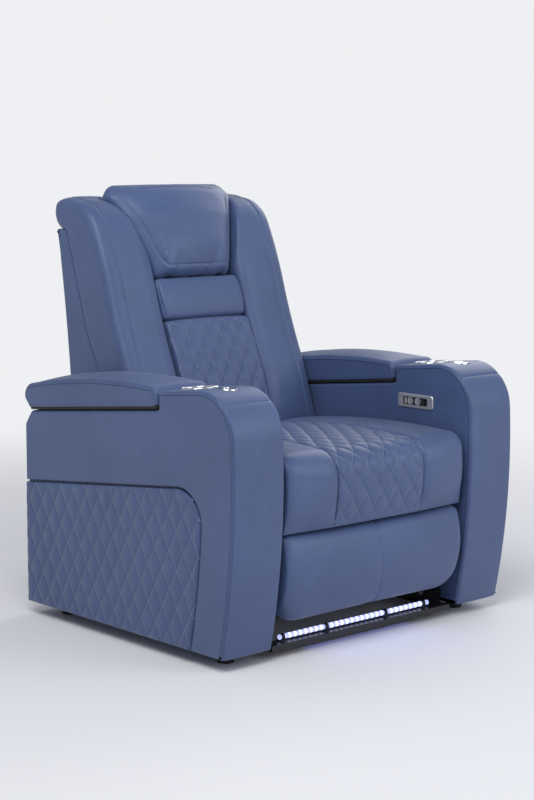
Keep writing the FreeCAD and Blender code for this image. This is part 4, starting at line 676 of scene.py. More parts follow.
def run_points(line: Sequence[Vector], step: float) -> list[Vector]:
    """Points at an even spacing along a line.

    Args:
        line: The line's points.
        step: The spacing.

    Returns:
        The points, from the line's first.
    """
    out = [line[0].copy()]
    carry = 0.0
    for a, b in zip(line, line[1:]):
        length = (b - a).length
        while carry + step <= length:
            carry += step
            out.append(a.lerp(b, carry / length))
        carry -= length
    return out


class Needle:
    """Sews seams into pieces and keeps the stitches of each body."""

    SEAM_REACH = 0.02
    SAMPLE = 0.0025
    FINE_EDGE, FINE_BAND = 0.0026, 0.007
    VALLEY_BAND, SHOULDER, SHOULDER_SHARE = 0.03, 0.011, 0.55
    THREAD_LIFT = 0.0001

    def __init__(self) -> None:
        """Starts with no stitches."""
        self.places: dict[Body, list[Matrix]] = {}

    def valley(self, obj: bpy.types.Object, seams: Sequence[Seam]) -> None:
        """Presses seams into a piece's mesh, after making it finer beside them.

        Args:
            obj: The piece.
            seams: The seams that are on it.
        """
        tree = BVHTree.FromObject(obj, bpy.context.evaluated_depsgraph_get())
        samples = []
        for seam in seams:
            for p in run_points(seam.line, self.SAMPLE):
                place, normal, _, away = tree.find_nearest(p)
                if place is not None and away < self.SEAM_REACH:
                    samples.append((place, normal, seam))
        if not samples:
            return
        kd = KDTree(len(samples))
        for i, (place, _, _) in enumerate(samples):
            kd.insert(place, i)
        kd.balance()
        with edited(obj) as bm:
            long_edges = [e for e in bm.edges if e.calc_length() > self.FINE_EDGE
                          and kd.find((e.verts[0].co + e.verts[1].co) / 2)[2] < self.FINE_BAND]
            if long_edges:
                bmesh.ops.subdivide_edges(bm, edges=long_edges, cuts=1, use_grid_fill=True)
                bmesh.ops.triangulate(bm, faces=big_faces(bm))
            for v in bm.verts:
                _, index, away = kd.find(v.co)
                if away < self.VALLEY_BAND:
                    _, normal, seam = samples[index]
                    shoulder = self.SHOULDER_SHARE * math.exp(-(away / self.SHOULDER) ** 2)
                    v.co -= normal * (seam.depth * (math.exp(-(away / seam.width) ** 2) + shoulder))
        smooth(obj.data, 80)

    def stitches(self, obj: bpy.types.Object, body: Body, seams: Sequence[Seam]) -> None:
        """Lays the rows of stitches beside seams, on the finished surface.

        Args:
            obj: The piece.
            body: The body that it rides on.
            seams: The seams that are on it.
        """
        tree = BVHTree.FromObject(obj, bpy.context.evaluated_depsgraph_get())
        rows = self.places.setdefault(body, [])
        for seam in seams:
            points = run_points(seam.line, seam.pitch)
            for offset in seam.offsets:
                for a, b in zip(points, points[1:]):
                    tangent = (b - a).normalized()
                    place, normal, _, away = tree.find_nearest((a + b) / 2)
                    if place is None or away > self.SEAM_REACH:
                        continue
                    aside = normal.cross(tangent).normalized() * offset
                    place, normal, _, _ = tree.find_nearest(place + aside)
                    along = (tangent - normal * tangent.dot(normal)).normalized()
                    matrix = Matrix((along, normal.cross(along), normal)).transposed().to_4x4()
                    matrix.translation = place + normal * self.THREAD_LIFT
                    rows.append(matrix)

    def sew(self, obj: bpy.types.Object, body: Body, seams: Sequence[Seam]) -> None:
        """Presses seams into a piece and lays their stitches."""
        self.valley(obj, seams)
        self.stitches(obj, body, seams)

    def finish(self, shop: "Shop", thread: "Finish") -> None:
        """Makes one piece of thread for each body.

        Args:
            shop: Where the pieces are placed.
            thread: Their finish.
        """
        radius, length = 0.00042, 0.0026
        bm = bmesh.new()
        bmesh.ops.create_cone(bm, segments=6, radius1=radius, radius2=radius, depth=length)
        bmesh.ops.rotate(bm, matrix=Matrix.Rotation(math.pi / 2, 3, "Y"), verts=bm.verts)
        ends = [f for f in bm.faces if abs(f.normal.x) > 0.9]
        made = bmesh.ops.extrude_discrete_faces(bm, faces=ends)
        for face in made["faces"]:
            side = math.copysign(1, face.normal.x)
            bmesh.ops.translate(bm, vec=(side * 0.0007, 0, -0.0003), verts=face.verts)
            bmesh.ops.scale(bm, vec=(1, 0.5, 0.5), verts=face.verts, space=Matrix.Identity(4))
        bmesh.ops.remove_doubles(bm, verts=bm.verts, dist=MERGE)
        template = bpy.data.meshes.new("stitch")
        bm.to_mesh(template)
        bm.free()
        for body, places in self.places.items():
            bm = bmesh.new()
            for place in places:
                template.transform(place)
                bm.from_mesh(template)
                template.transform(place.inverted())
            obj = from_bmesh(f"{body.value}_stitching", bm, 80)
            shop.place(obj, body, thread)
        bpy.data.meshes.remove(template)


# Materials


class Sock:
    """A shader value that Python's operators work on."""

    def __init__(self, board: "Board", socket: bpy.types.NodeSocket) -> None:
        """Wraps a node's output socket."""
        self.board = board
        self.socket = socket

    def math(self, kind: str, *others: "float | Sock") -> "Sock":
        """A Math node on this value and others."""
        return self.board.number(kind, [self, *others])

    def __add__(self, other: "float | Sock") -> "Sock":
        """Sum."""
        return self.math("ADD", other)

    __radd__ = __add__

    def __mul__(self, other: "float | Sock") -> "Sock":
        """Product."""
        return self.math("MULTIPLY", other)

    def __sub__(self, other: "float | Sock") -> "Sock":
        """Difference."""
        return self.math("SUBTRACT", other)

    def __rsub__(self, other: float) -> "Sock":
        """Difference from a number."""
        return self.board.number("SUBTRACT", [other, self])

    def __truediv__(self, other: "float | Sock") -> "Sock":
        """Quotient."""
        return self.math("DIVIDE", other)

    def between(self, low: float, high: float) -> "Sock":
        """0 below low, 1 above high and smooth between."""
        node = self.board.node("ShaderNodeMapRange", {"interpolation_type": "SMOOTHSTEP"},
                               {"Value": self, "From Min": low, "From Max": high})
        return Sock(self.board, node.outputs["Result"])


class Board:
    """A material's node tree and the few ways it is filled."""

    def __init__(self, name: str) -> None:
        """Makes an empty node material with its shader.

        Args:
            name: The material's name.
        """
        self.material = bpy.data.materials.new(name)
        self.material.use_nodes = True
        self.tree = self.material.node_tree
        self.tree.nodes.clear()
        self.shader = self.tree.nodes.new("ShaderNodeBsdfPrincipled")
        self.output = self.tree.nodes.new("ShaderNodeOutputMaterial")
        self.tree.links.new(self.shader.outputs[0], self.output.inputs["Surface"])

    def feed(self, socket: bpy.types.NodeSocket, value: "float | tuple | Sock") -> None:
        """Links a socket to a value, or sets it to a number, a vector or a colour.

        Args:
            socket: A node's input.
            value: What it takes.
        """
        if isinstance(value, Sock):
            self.tree.links.new(value.socket, socket)
        elif isinstance(value, tuple):
            socket.default_value = (*value, 1.0)[:len(socket.default_value)]
        else:
            socket.default_value = value

    def node(self, kind: str, settings: dict | None = None, inputs: dict | None = None) -> bpy.types.Node:
        """A node with its settings and inputs set.

        Args:
            kind: The node's type.
            settings: The node's own properties.
            inputs: Values or links by socket name or number.

        Returns:
            The node.
        """
        node = self.tree.nodes.new(kind)
        for key, value in (settings or {}).items():
            setattr(node, key, value)
        for key, value in (inputs or {}).items():
            self.feed(node.inputs[key], value)
        return node

    def number(self, kind: str, values: Sequence["float | Sock"]) -> Sock:
        """A Math node's result."""
        return Sock(self, self.node("ShaderNodeMath", {"operation": kind}, dict(enumerate(values))).outputs[0])

    def coords(self, kind: str = "Object") -> Sock:
        """Texture coordinates of the piece itself."""
        return Sock(self, self.node("ShaderNodeTexCoord").outputs[kind])

    def stretched(self, vector: Sock, scale: tuple[float, float, float]) -> Sock:
        """A vector scaled by axis."""
        node = self.node("ShaderNodeMapping", None, {"Vector": vector, "Scale": scale})
        return Sock(self, node.outputs[0])

    def noise(self, vector: Sock, scale: float, detail: float = 3.0, rough: float = 0.55) -> Sock:
        """Noise from 0 to 1."""
        node = self.node("ShaderNodeTexNoise", None,
                         {"Vector": vector, "Scale": scale, "Detail": detail, "Roughness": rough})
        return Sock(self, node.outputs["Fac"])

    def cells(self, vector: Sock, scale: float) -> Sock:
        """Distance in a cell pattern."""
        node = self.node("ShaderNodeTexVoronoi", {"feature": "F1"}, {"Vector": vector, "Scale": scale})
        return Sock(self, node.outputs["Distance"])

    def parts(self, vector: Sock) -> tuple[Sock, Sock, Sock]:
        """The three numbers of a vector."""
        node = self.node("ShaderNodeSeparateXYZ", None, {0: vector})
        return tuple(Sock(self, node.outputs[i]) for i in range(3))

    def blend(self, share: "float | Sock", first: "tuple | Sock", second: "tuple | Sock") -> Sock:
        """A colour between two colours."""
        node = self.node("ShaderNodeMix", {"data_type": "RGBA"}, {0: share, 6: first, 7: second})
        return Sock(self, node.outputs[2])

    def bump(self, height: Sock, distance: float, strength: float = 1.0) -> Sock:
        """A normal from a height."""
        node = self.node("ShaderNodeBump", None, {"Height": height, "Distance": distance, "Strength": strength})
        return Sock(self, node.outputs[0])

    def set(self, **values: "float | tuple | Sock") -> None:
        """Sets the shader's sockets; an underscore in a name stands for a space."""
        for key, value in values.items():
            self.feed(self.shader.inputs[key.replace("_", " ")], value)


Colour = tuple[float, float, float]


@dataclass(frozen=True)
class Finish:
    """A surface finish, with the record's slot that it belongs to."""

    name: str
    slot: str | None

    def dress(self, board: Board) -> None:
        """Fills the material's nodes."""
        raise NotImplementedError

    def material(self) -> bpy.types.Material:
        """The finish's material, made once."""
        found = bpy.data.materials.get(self.name)
        if found:
            return found
        board = Board(self.name)
        self.dress(board)
        return board.material


@dataclass(frozen=True)
class Quilt:
    """The stitched diamonds' full width and height, in metres."""

    width: float = 0.050
    height: float = 0.086


@dataclass(frozen=True)
class Leather(Finish):
    """Soft dyed leather, plain or with quilting stitches and painted shade along them."""

    colour: Colour = (0.060, 0.096, 0.212)
    quilt: Quilt | None = None
    thread: Colour = (0.21, 0.30, 0.50)

    def dress(self, board: Board) -> None:
        """Dye that varies a little, fine pores, faint creases, thread on the quilting lines, and painted shade in the
        quilting valleys.

        Args:
            board: The material's nodes.
        """
        place = board.coords()
        cloud = board.noise(place, 5.0, 3.0)
        mottle = board.noise(place, 60.0, 4.0, 0.6)
        pores = board.cells(place, 850.0)
        fine = board.noise(place, 1500.0, 2.0)
        crease = (board.noise(board.stretched(place, (1.0, 1.0, 0.45)), 38.0, 5.0, 0.6) - 0.5).math("ABSOLUTE")
        folds = board.noise(place, 13.0, 2.0)
        dark = tuple(c * 0.90 for c in self.colour)
        light = tuple(c * 1.09 + 0.002 for c in self.colour)
        dye_and_valley_shade = board.blend((cloud * 0.65 + mottle * 0.35).between(0.3, 0.7), dark, light)
        grain = pores.between(0.0, 0.75) * 0.7 + fine * 0.3
        crack = 1.0 - crease.between(0.0, 0.035)
        height = grain * 0.10 + folds * 1.6 - crack * 0.10
        rough = 0.43 + mottle * 0.08 - grain * 0.04
        if self.quilt:
            u, v, _ = board.parts(board.coords("UV"))
            slope = math.hypot(1 / self.quilt.width, 1 / self.quilt.height)
            first = u / self.quilt.width + v / self.quilt.height
            second = u / self.quilt.width - v / self.quilt.height
            near = None
            for value in (first, second):
                away = ((value + 0.5).math("FRACT") - 0.5).math("ABSOLUTE") / slope
                near = away if near is None else near.math("MINIMUM", away)
            dash = ((v / 0.0042).math("FRACT") - 0.5).math("ABSOLUTE")
            row = 1.0 - near.between(0.0005, 0.0009)
            stitch = row * (1.0 - dash.between(0.30, 0.40))
            # Painted shade: the colour darkens along the quilting lines, where the valleys between the puffs fall into
            # shade.
            valley = 1.0 - near.between(0.0, 0.0048)
            dye_and_valley_shade = board.blend(valley * 0.75, dye_and_valley_shade, tuple(c * 0.50 for c in self.colour))
            dye_and_valley_shade = board.blend(stitch, dye_and_valley_shade, self.thread)
            height = height + stitch * 1.2
            rough = rough + stitch * 0.2
        board.set(Base_Color=dye_and_valley_shade, Roughness=rough, Normal=board.bump(height, 0.0006, 0.55),
                  Specular_IOR_Level=0.45, Sheen_Weight=0.12, Sheen_Roughness=0.45)


@dataclass(frozen=True)
class Thread(Finish):
    """Twisted sewing thread."""

    colour: Colour = (0.15, 0.22, 0.39)

    def dress(self, board: Board) -> None:
        """Matt thread with a twist that shows as fine stripes."""
        place = board.coords()
        twist = board.noise(place, 2600.0, 1.0)
        board.set(Base_Color=board.blend(twist, tuple(c * 0.8 for c in self.colour), self.colour),
                  Roughness=0.6 + twist * 0.15)


@dataclass(frozen=True)
class Metal(Finish):
    """Bare or plated metal, brushed along one axis where asked."""

    colour: Colour
    rough: float
    brush: tuple[float, float, float] = (1.0, 1.0, 1.0)
    depth: float = 0.00002

    def dress(self, board: Board) -> None:
        """Fine brush lines, and dull patches where hands and air reach.

        Args:
            board: The material's nodes.
        """
        place = board.coords()
        lines = board.noise(board.stretched(place, self.brush), 900.0, 2.0)
        patch = board.noise(place, 22.0, 3.0)
        tone = board.blend(patch.between(0.3, 0.7), tuple(c * 0.93 for c in self.colour), self.colour)
        board.set(Base_Color=tone, Metallic=1.0, Roughness=self.rough + lines * 0.08 + patch * 0.05,
                  Normal=board.bump(lines, self.depth, 0.5))


@dataclass(frozen=True)
class Enamel(Finish):
    """Black paint over steel."""

    colour: Colour
    rough: float = 0.32

    def dress(self, board: Board) -> None:
        """Slight orange peel and a little dust on the gloss.

        Args:
            board: The material's nodes.
        """
        place = board.coords()
        peel = board.noise(place, 420.0, 2.0)
        dust = board.noise(place, 30.0, 4.0, 0.65).between(0.5, 0.85)
        tone = board.blend(dust * 0.25, self.colour, tuple(c + 0.03 for c in self.colour))
        board.set(Base_Color=tone, Roughness=self.rough + dust * 0.2, Normal=board.bump(peel, 0.00006, 0.6))


@dataclass(frozen=True)
class Moulded(Finish):
    """Moulded plastic or rubber with a fine grain."""

    colour: Colour
    rough: float = 0.5
    grain: float = 0.00008

    def dress(self, board: Board) -> None:
        """Spark-eroded grain and slight wear.

        Args:
            board: The material's nodes.
        """
        place = board.coords()
        grain = board.cells(place, 1300.0)
        wear = board.noise(place, 45.0, 4.0, 0.6)
        tone = board.blend(wear.between(0.45, 0.8) * 0.5, self.colour, tuple(c * 1.25 + 0.006 for c in self.colour))
        board.set(Base_Color=tone, Roughness=self.rough + wear * 0.1, Normal=board.bump(grain, self.grain, 0.6))


@dataclass(frozen=True)
class Plywood(Finish):
    """Birch plywood with its plies on the edges."""

    colour: Colour = (0.46, 0.30, 0.16)

    def dress(self, board: Board) -> None:
        """Long grain with darker streaks.

        Args:
            board: The material's nodes.
        """
        place = board.coords()
        grain = board.noise(board.stretched(place, (14.0, 1.6, 14.0)), 12.0, 6.0, 0.6)
        pore = board.noise(board.stretched(place, (60.0, 4.0, 60.0)), 20.0, 3.0)
        tone = board.blend(grain.between(0.3, 0.7), tuple(c * 0.72 for c in self.colour), self.colour)
        height = grain * 0.6 + pore * 0.4
        board.set(Base_Color=tone, Roughness=0.62 + pore * 0.15, Normal=board.bump(height, 0.0003, 0.5))


@dataclass(frozen=True)
class LightTube(Finish):
    """Frosted tube lit from inside by a row of small lamps."""

    colour: Colour = (0.30, 0.36, 1.0)
    pitch: float = 0.0167

    def dress(self, board: Board) -> None:
        """Light that peaks at each lamp along the tube.

        Args:
            board: The material's nodes.
        """
        along, _, _ = board.parts(board.coords())
        beat = (((along / self.pitch).math("FRACT")) - 0.5).math("ABSOLUTE")
        hot = 1.0 - beat.between(0.05, 0.32)
        glow = board.blend(hot, tuple(c * 0.55 for c in self.colour), (0.82, 0.86, 1.0))
        board.set(Base_Color=(0.7, 0.74, 1.0), Roughness=0.25 + hot * 0.1, Emission_Color=glow, Emission_Strength=1.5)


@dataclass(frozen=True)
class Ground(Finish):
    """Pale studio floor that shows white to the camera and keeps the object's shadow."""

    colour: Colour = (0.80, 0.80, 0.81)

    def dress(self, board: Board) -> None:
        """Matt paint that fades into the backdrop away from the chair.

        Args:
            board: The material's nodes.
        """
        place = board.coords()
        reach = board.node("ShaderNodeVectorMath", {"operation": "LENGTH"}, {0: place})
        share = Sock(board, reach.outputs["Value"]).between(1.3, 3.4)
        board.set(Base_Color=self.colour, Roughness=0.85, Specular_IOR_Level=0.15)
        glow = board.node("ShaderNodeEmission", None, {"Color": BACKDROP, "Strength": 1.0})
        mix = board.node("ShaderNodeMixShader", None, {0: share})
        board.tree.links.new(board.shader.outputs[0], mix.inputs[1])
        board.tree.links.new(glow.outputs[0], mix.inputs[2])
        board.tree.links.new(mix.outputs[0], board.output.inputs["Surface"])


BACKDROP = (0.86, 0.87, 0.89)
LEATHER = Leather("blue_leather_plain", "blue_leather")
QUILTED = Leather("blue_leather_quilted", "quilted_leather", quilt=Quilt())
THREAD = Thread("blue_thread", "blue_leather")
# Near-black cord laid along seam lines: painted seam shade, standing in for the shadow in the seam.
SEAM_SHADE_CORD = Thread("painted_seam_shade_cord", "blue_leather", (0.016, 0.024, 0.060))
CHROME = Metal("chrome_plate", "chrome", (0.80, 0.80, 0.82), 0.07)
STAINLESS = Metal("spun_stainless", "stainless", (0.62, 0.62, 0.64), 0.22, (1.0, 1.0, 8.0))
NODE_FINISHES = {
    "blue_leather": LEATHER, "quilted_leather": QUILTED, "stainless": STAINLESS, "chrome": CHROME,
    "plywood": Plywood("birch_plywood", "plywood"),
    "black_steel": Enamel("black_enamel", "black_steel", (0.012, 0.012, 0.014)),
    "zinc_steel": Metal("zinc_plate", "zinc_steel", (0.52, 0.53, 0.55), 0.32),
    "brushed_nickel": Metal("brushed_nickel_plate", "brushed_nickel", (0.82, 0.79, 0.73), 0.44, (1.0, 0.06, 1.0),
                            0.00005),
    "black_plastic": Moulded("black_moulding", "black_plastic", (0.014, 0.014, 0.016)),
    "light_tube": LightTube("lit_tube", "light_tube"),
    "nylon": Moulded("natural_nylon", "nylon", (0.70, 0.68, 0.62), 0.45),
    "rubber": Moulded("black_rubber", "rubber", (0.02, 0.02, 0.02), 0.75, 0.00015),
}


DARK_NODES = ("left_lid_board", "right_lid_board", "footrest_board")
DARK_BOARD = Plywood("black_stained_plywood", "plywood", (0.02, 0.018, 0.016))


class Shop:
    """Puts finished pieces on their bodies and dresses the CAD's own nodes."""

    def __init__(self) -> None:
        """Notes which finish each CAD node takes."""
        self.slots = {row["node"]: row["material_slot"] for row in frame["record"]["subparts"]}
        self.replaced: set[str] = set()

    def place(self, obj: bpy.types.Object, body: Body, finish: Finish, replaces: Sequence[str] = (),
              fill: float | None = None) -> bpy.types.Object:
        """Dresses a piece and puts it on its body.

        Args:
            obj: The finished piece.
            body: The body it rides on.
            finish: Its finish.
            replaces: CAD nodes that it stands for.
            fill: Its filling from 0 to 1 where it is padded; not used.

        Returns:
            The piece.
        """
        obj.data.materials.clear()
        obj.data.materials.append(finish.material())
        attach(obj, body.value)
        if replaces:
            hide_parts(*replaces)
            self.replaced.update(replaces)
        return obj

    def pair(self, right: bpy.types.Object, bodies: tuple[Body, Body], node: str, fill: float) -> bpy.types.Object:
        """Places a leather pad and makes its twin on the left.

        Args:
            right: The finished pad on the right.
            bodies: The bodies that the right and the left pad ride on.
            node: The CAD nodes' name without the side.
            fill: Their filling from 0 to 1.

        Returns:
            The left pad.
        """
        self.place(right, bodies[0], LEATHER, [f"right_{node}"], fill)
        left = mirrored_copy(right, right.name.replace("right", "left"))
        return self.place(left, bodies[1], LEATHER, [f"left_{node}"], fill)

    def dress_nodes(self) -> None:
        """Gives every CAD node that still shows its finish."""
        for name, obj in frame["nodes"].items():
            finish = DARK_BOARD if name in DARK_NODES else NODE_FINISHES[self.slots[name]]
            obj.data.materials.clear()
            obj.data.materials.append(finish.material())
            if name not in self.replaced:
                LOG.info("%s: kept, %s", name, finish.name)


# Shapes that the leather takes


def boxed_stations(path: np.ndarray, x0: float, x1: float, radius: float = 7.0, swell: float = 1.5,
                   groove: float = 2.3, count: int = 14) -> list[tuple[float, np.ndarray]]:
    """Stations of a boxed cushion: two flat sides, and a strip round them sewn to both.

    Args:
        path: The side view's outline.
        x0: One side's x.
        x1: The other side's x.
        radius: Radius of the sewn edges.
        swell: Rise of the strip between its seams.
        groove: Depth of the seams.
        count: Steps across the strip.

    Returns:
        Pairs of x and path.
    """
    edge = [(0.0, radius), (0.5, radius * 0.72), (1.5, radius * 0.50), (1.9, radius * 0.42 + groove * 0.4),
            (2.3, radius * 0.36 + groove), (3.0, radius * 0.30 + groove * 0.9), (3.7, radius * 0.22 + groove * 0.2),
            (5.0, radius * 0.08), (radius + 0.5, 0.0), (radius + 5.0, -swell * 0.35)]
    near = [(x0 + x, inset(path, d)) for x, d in edge]
    far = [(x1 - x, inset(path, d)) for x, d in reversed(edge)]
    middle = []
    start, end = x0 + radius + 5.0, x1 - radius - 5.0
    for i in range(1, count):
        share = i / count
        middle.append((start + (end - start) * share, inset(path, -swell * (0.35 + 0.65 * crown(share)))))
    return near + middle + far


def rolled_stations(path_at: Callable[[float], np.ndarray], x0: float, x1: float, roll: float, draw: np.ndarray,
                    step: float) -> list[tuple[float, np.ndarray]]:
    """Stations of a pad whose ends roll in.

    Args:
        path_at: Side view at a share of the way across.
        x0: Lower x.
        x1: Higher x.
        roll: Width of the roll at each end.
        draw: How far each point of the path draws in at the ends.
        step: Spacing between the rolls.

    Returns:
        Pairs of x and path.
    """
    ends = roll * (1 - np.cos(np.linspace(0, math.pi / 2, 9)))
    inner = np.linspace(x0 + roll, x1 - roll, max(2, int((x1 - x0 - 2 * roll) / step)) + 1)[1:-1]
    xs = np.concatenate([x0 + ends, inner, (x1 - ends)[::-1]])
    out = []
    for x in xs:
        away = min(min(x - x0, x1 - x) / roll, 1.0)
        depth = 1 - math.sqrt(max(0.0, 1 - (1 - away) ** 2))
        out.append((float(x), inset(path_at((x - x0) / (x1 - x0)), draw * depth)))
    return out


def puffed(u: np.ndarray, v: np.ndarray, quilt: Quilt, rise: float) -> np.ndarray:
    """Height of the stuffed diamonds over their stitched lines."""
    first, second = u / quilt.width + v / quilt.height, u / quilt.width - v / quilt.height
    swell = np.abs(np.sin(np.pi * first) * np.sin(np.pi * second))
    return rise * (swell ** 0.42 - 0.72)


def quilted_skin(obj: bpy.types.Object, quilt: Quilt, rise: float, mask: Callable[[np.ndarray], np.ndarray]) -> None:
    """Raises the diamonds on a piece by its surface coordinates.

    Args:
        obj: The piece.
        quilt: The diamonds' size.
        rise: Their height, in metres.
        mask: Gives the share of the height that each point takes, from the points.
    """
    mesh = obj.data
    uv = np.zeros((len(mesh.vertices), 2))
    layer = mesh.uv_layers[0].uv
    flat = np.empty(len(layer) * 2)
    layer.foreach_get("vector", flat)
    loops = np.empty(len(mesh.loops), int)
    mesh.loops.foreach_get("vertex_index", loops)
    uv[loops] = flat.reshape(-1, 2)
    shifted(obj, lambda co: puffed(uv[:, 0], uv[:, 1], quilt, rise) * mask(co))


@dataclass
class Assembly:
    """A sub-assembly of the chair, with the shop that places its pieces and the needle that sews them."""

    shop: Shop
    needle: Needle

    def build(self) -> None:
        """Makes every piece of the sub-assembly."""
        raise NotImplementedError


@dataclass
class Arm(Assembly):
    """One arm: its leather cover, quilted panel, and the fittings in its top."""

    side: Side
    quilt: Quilt = field(default_factory=lambda: Quilt(0.052, 0.088))
    panel_depth: float = 12.0
    panel_proud: float = 2.5
    panel_roll: float = 9.0
    panel_rear_top: float = 303.0
    panel_front: float = 112.0
    panel_corner: float = 80.0
    groove: float = 5.0
    # How far in from the edge the near-black cords of painted seam shade lie
    seam_shade_inset: float = 9.0

    def front_y(self, z: float) -> float:
        """y of the bowed front at a height."""
        return BELLY_R - BELLY - math.sqrt(BELLY_R ** 2 - (z - BELLY_Z) ** 2)

    def outline(self) -> np.ndarray:
        """The arm's side view, from the bottom of its front round to its rear."""
        cy = BELLY_R - BELLY
        y = 70.0
        for _ in range(30):
            z = top_height(y) - NOSE_R / math.cos(SLOPE)
            y = cy - math.sqrt((BELLY_R - NOSE_R) ** 2 - (z - BELLY_Z) ** 2)
        k = BELLY_R / (BELLY_R - NOSE_R)
        low = (cy + (y - cy) * k, BELLY_Z + (z - BELLY_Z) * k)
        high = (y + NOSE_R * math.sin(SLOPE), z + NOSE_R * math.cos(SLOPE))
        mid_angle = (math.atan2(low[1] - z, low[0] - y) % math.tau + math.atan2(high[1] - z, high[0] - y)) / 2
        mid = (y + NOSE_R * math.cos(mid_angle), z + NOSE_R * math.sin(mid_angle))
        end = ledge_place(505.0, 0.0)
        half = low[1] / 2
        entries = [(0.0, 0.0), ("via", self.front_y(half), half), low, ("via", *mid), high, (LEDGE[0], ARM_TOP_Z),
                   LEDGE, end, (ARM_REAR_Y, end[1] - 34.0), (ARM_REAR_Y, 0.0)]
        return resampled(rounded(traced(entries, 5.0), 13.0), 4.0)

    def knee(self, grow: float = 0.0) -> tuple[Place, Place, Place]:
        """Start, middle and end of the quilted panel's rounded corner.

        Args:
            grow: How far the corner is grown.

        Returns:
            The three places.
        """
        rear_top, corner, slope = self.panel_rear_top + grow, self.panel_corner, math.tan(SLOPE)
        front_top = rear_top + (ARM_REAR_Y - 150.0) * slope
        y, z = self.front_y(front_top - corner) + self.panel_front - grow, front_top - corner
        cut = 0.293 * corner
        return (y, z), (y + cut, front_top - cut), (y + corner, rear_top + (ARM_REAR_Y - y - corner) * slope)

    def panel_path(self, grow: float) -> np.ndarray:
        """Outline of the quilted panel, grown by its groove where asked."""
        start, middle, end = self.knee(grow)
        edge, half = self.panel_front - grow, start[1] / 2
        return traced([(self.front_y(0) + edge, 0.0), ("via", self.front_y(half) + edge, half), start, ("via", *middle),
                       end, (ARM_REAR_Y, self.panel_rear_top + grow), (ARM_REAR_Y, 0.0)], 6.0)

    def cutters(self) -> list[bpy.types.Object]:
        """What the panel, the bin, the cup, the socket and the controls take out of the cover."""
        path = self.panel_path(self.groove)
        path[-1], path[-2] = (ARM_REAR_Y + 9, -9.0), (ARM_REAR_Y + 9, path[-2][1])
        path = np.vstack([[(path[0][0], -9.0)], path])
        tools = [prism("panel_tool", path, ARM_OUT - self.panel_depth, ARM_OUT + 9)]
        tub = np.array([ledge_place(u, v) for u, v in ((44, -191), (456, -191), (456, 40), (44, 40))])
        tools.append(prism("bin_tool", tub, ARM_MID - 44, ARM_MID + 44))
        tilt = Vector((0, math.sin(SLOPE), math.cos(SLOPE)))
        cup = spot(ARM_MID, 162, top_height(162))
        tools.append(turned("cup_tool", [(0, -79), (39, -79), (39, 20), (0, 20)], cup, tilt))
        dock = spot(ARM_MID, 66, top_height(66) - 4.5)
        tools.append(turned("dock_tool", [(0, -46), (14.5, -46), (14.5, 0), (24.5, 0), (24.5, 30), (0, 30)], dock,
                            Vector((0, 0, 1))))
        if self.side is Side.RIGHT:
            window = np.array([(97, 481), (191, 481), (191, 508), (97, 508)], float)
            tools.append(prism("window_tool", window, ARM_IN - 6, ARM_IN + 18))
        return tools

    def cover(self) -> None:
        """The leather cover with its seams, and near-black cords on its sides as painted seam shade."""
        right = self.side is Side.RIGHT
        name = f"{self.side.word}_arm_cover"
        path = self.outline()
        obj = swept(f"{self.side.word}_arm_leather", boxed_stations(path, ARM_IN, ARM_OUT))
        carved(obj, self.cutters())
        self.soften_recess(obj)
        nose = min((p for p in path if p[0] < 120), key=lambda p: abs(p[1] - 566.0))
        across = [spot(x, *nose) for x in np.linspace(ARM_IN + 6, ARM_OUT - 6, 30)]
        low = [spot(ARM_IN, y, 387.0 - 0.03 * y) for y in np.linspace(-28, 60, 20)]
        seams = [Seam(across, offsets=(0.005,)), Seam(low, depth=0.001, offsets=())]
        self.needle.valley(obj, seams)
        if right:
            obj.name = f"{name}_leather"
        else:
            twin = mirrored_copy(obj, f"{name}_leather")
            bpy.data.objects.remove(obj)
            obj = twin
            seams = [self.flipped(seam) for seam in seams]
        edge = self.seam_part(path, path)
        for x, offset in ((ARM_IN + 3.5, -0.0042), (ARM_OUT - 3.5, 0.0042)):
            line = Seam([spot(x, y, z) for y, z in edge], offsets=(offset,))
            seams.append(line if right else self.flipped(line))
        self.needle.stitches(obj, Body.BASE, seams)
        smooth(obj.data, 42)
        # Near-black cords along the side seams: painted shade of the seam lines.
        inner = self.seam_part(path, inset(path, self.seam_shade_inset))
        sides = [[spot(self.side.value * x, y, z) for y, z in inner] for x in (ARM_IN, ARM_OUT)]
        self.shop.place(corded(f"{self.side.word}_arm_seams", sides), Body.BASE, SEAM_SHADE_CORD)
        self.shop.place(obj, Body.BASE, LEATHER, [name], 0.9)

    def seam_part(self, path: np.ndarray, moved: np.ndarray) -> list[np.ndarray]:
        """The seam's part of a path: from the bottom of the front up and back over the nose.

        Args:
            path: The arm's outline.
            moved: The same outline, or one inset from it.

        Returns:
            The points of the second outline where the first is on the seam, in order.
        """
        kept = [q for p, q in zip(path, moved) if (p[0] < 212 and p[1] > 540) or (p[0] < 60 and p[1] > 3)]
        return sorted(kept, key=lambda p: math.atan2(p[1] - 300.0, 260.0 - p[0]))

    def flipped(self, seam: Seam) -> Seam:
        """The same seam on the other side of the chair."""
        line = [Vector((-p.x, p.y, p.z)) for p in seam.line]
        return Seam(line, seam.depth, seam.width, tuple(-o for o in seam.offsets), seam.pitch)

    def soften_recess(self, obj: bpy.types.Object) -> None:
        """Rounds the leather's edge where it turns into the panel's groove.

        Args:
            obj: The cover.
        """
        dense = resampled(self.panel_path(self.groove)[:-1], 2.0, closed=False)
        kd = KDTree(len(dense))
        for i, (y, z) in enumerate(dense):
            kd.insert(spot(ARM_OUT, y, z), i)
        kd.balance()
        with edited(obj) as bm:
            bmesh.ops.remove_doubles(bm, verts=bm.verts, dist=2e-5)
            rim = [e for e in bm.edges if len(e.link_faces) == 2 and e.calc_face_angle(0) > 0.9
                   and all(abs(v.co.x - ARM_OUT * MM) < 0.0006 and kd.find(v.co)[2] < 0.0012 for v in e.verts)]
            bmesh.ops.bevel(bm, geom=rim, offset=0.0035, segments=4, profile=0.5, affect="EDGES", material=-1,
                            clamp_overlap=True)

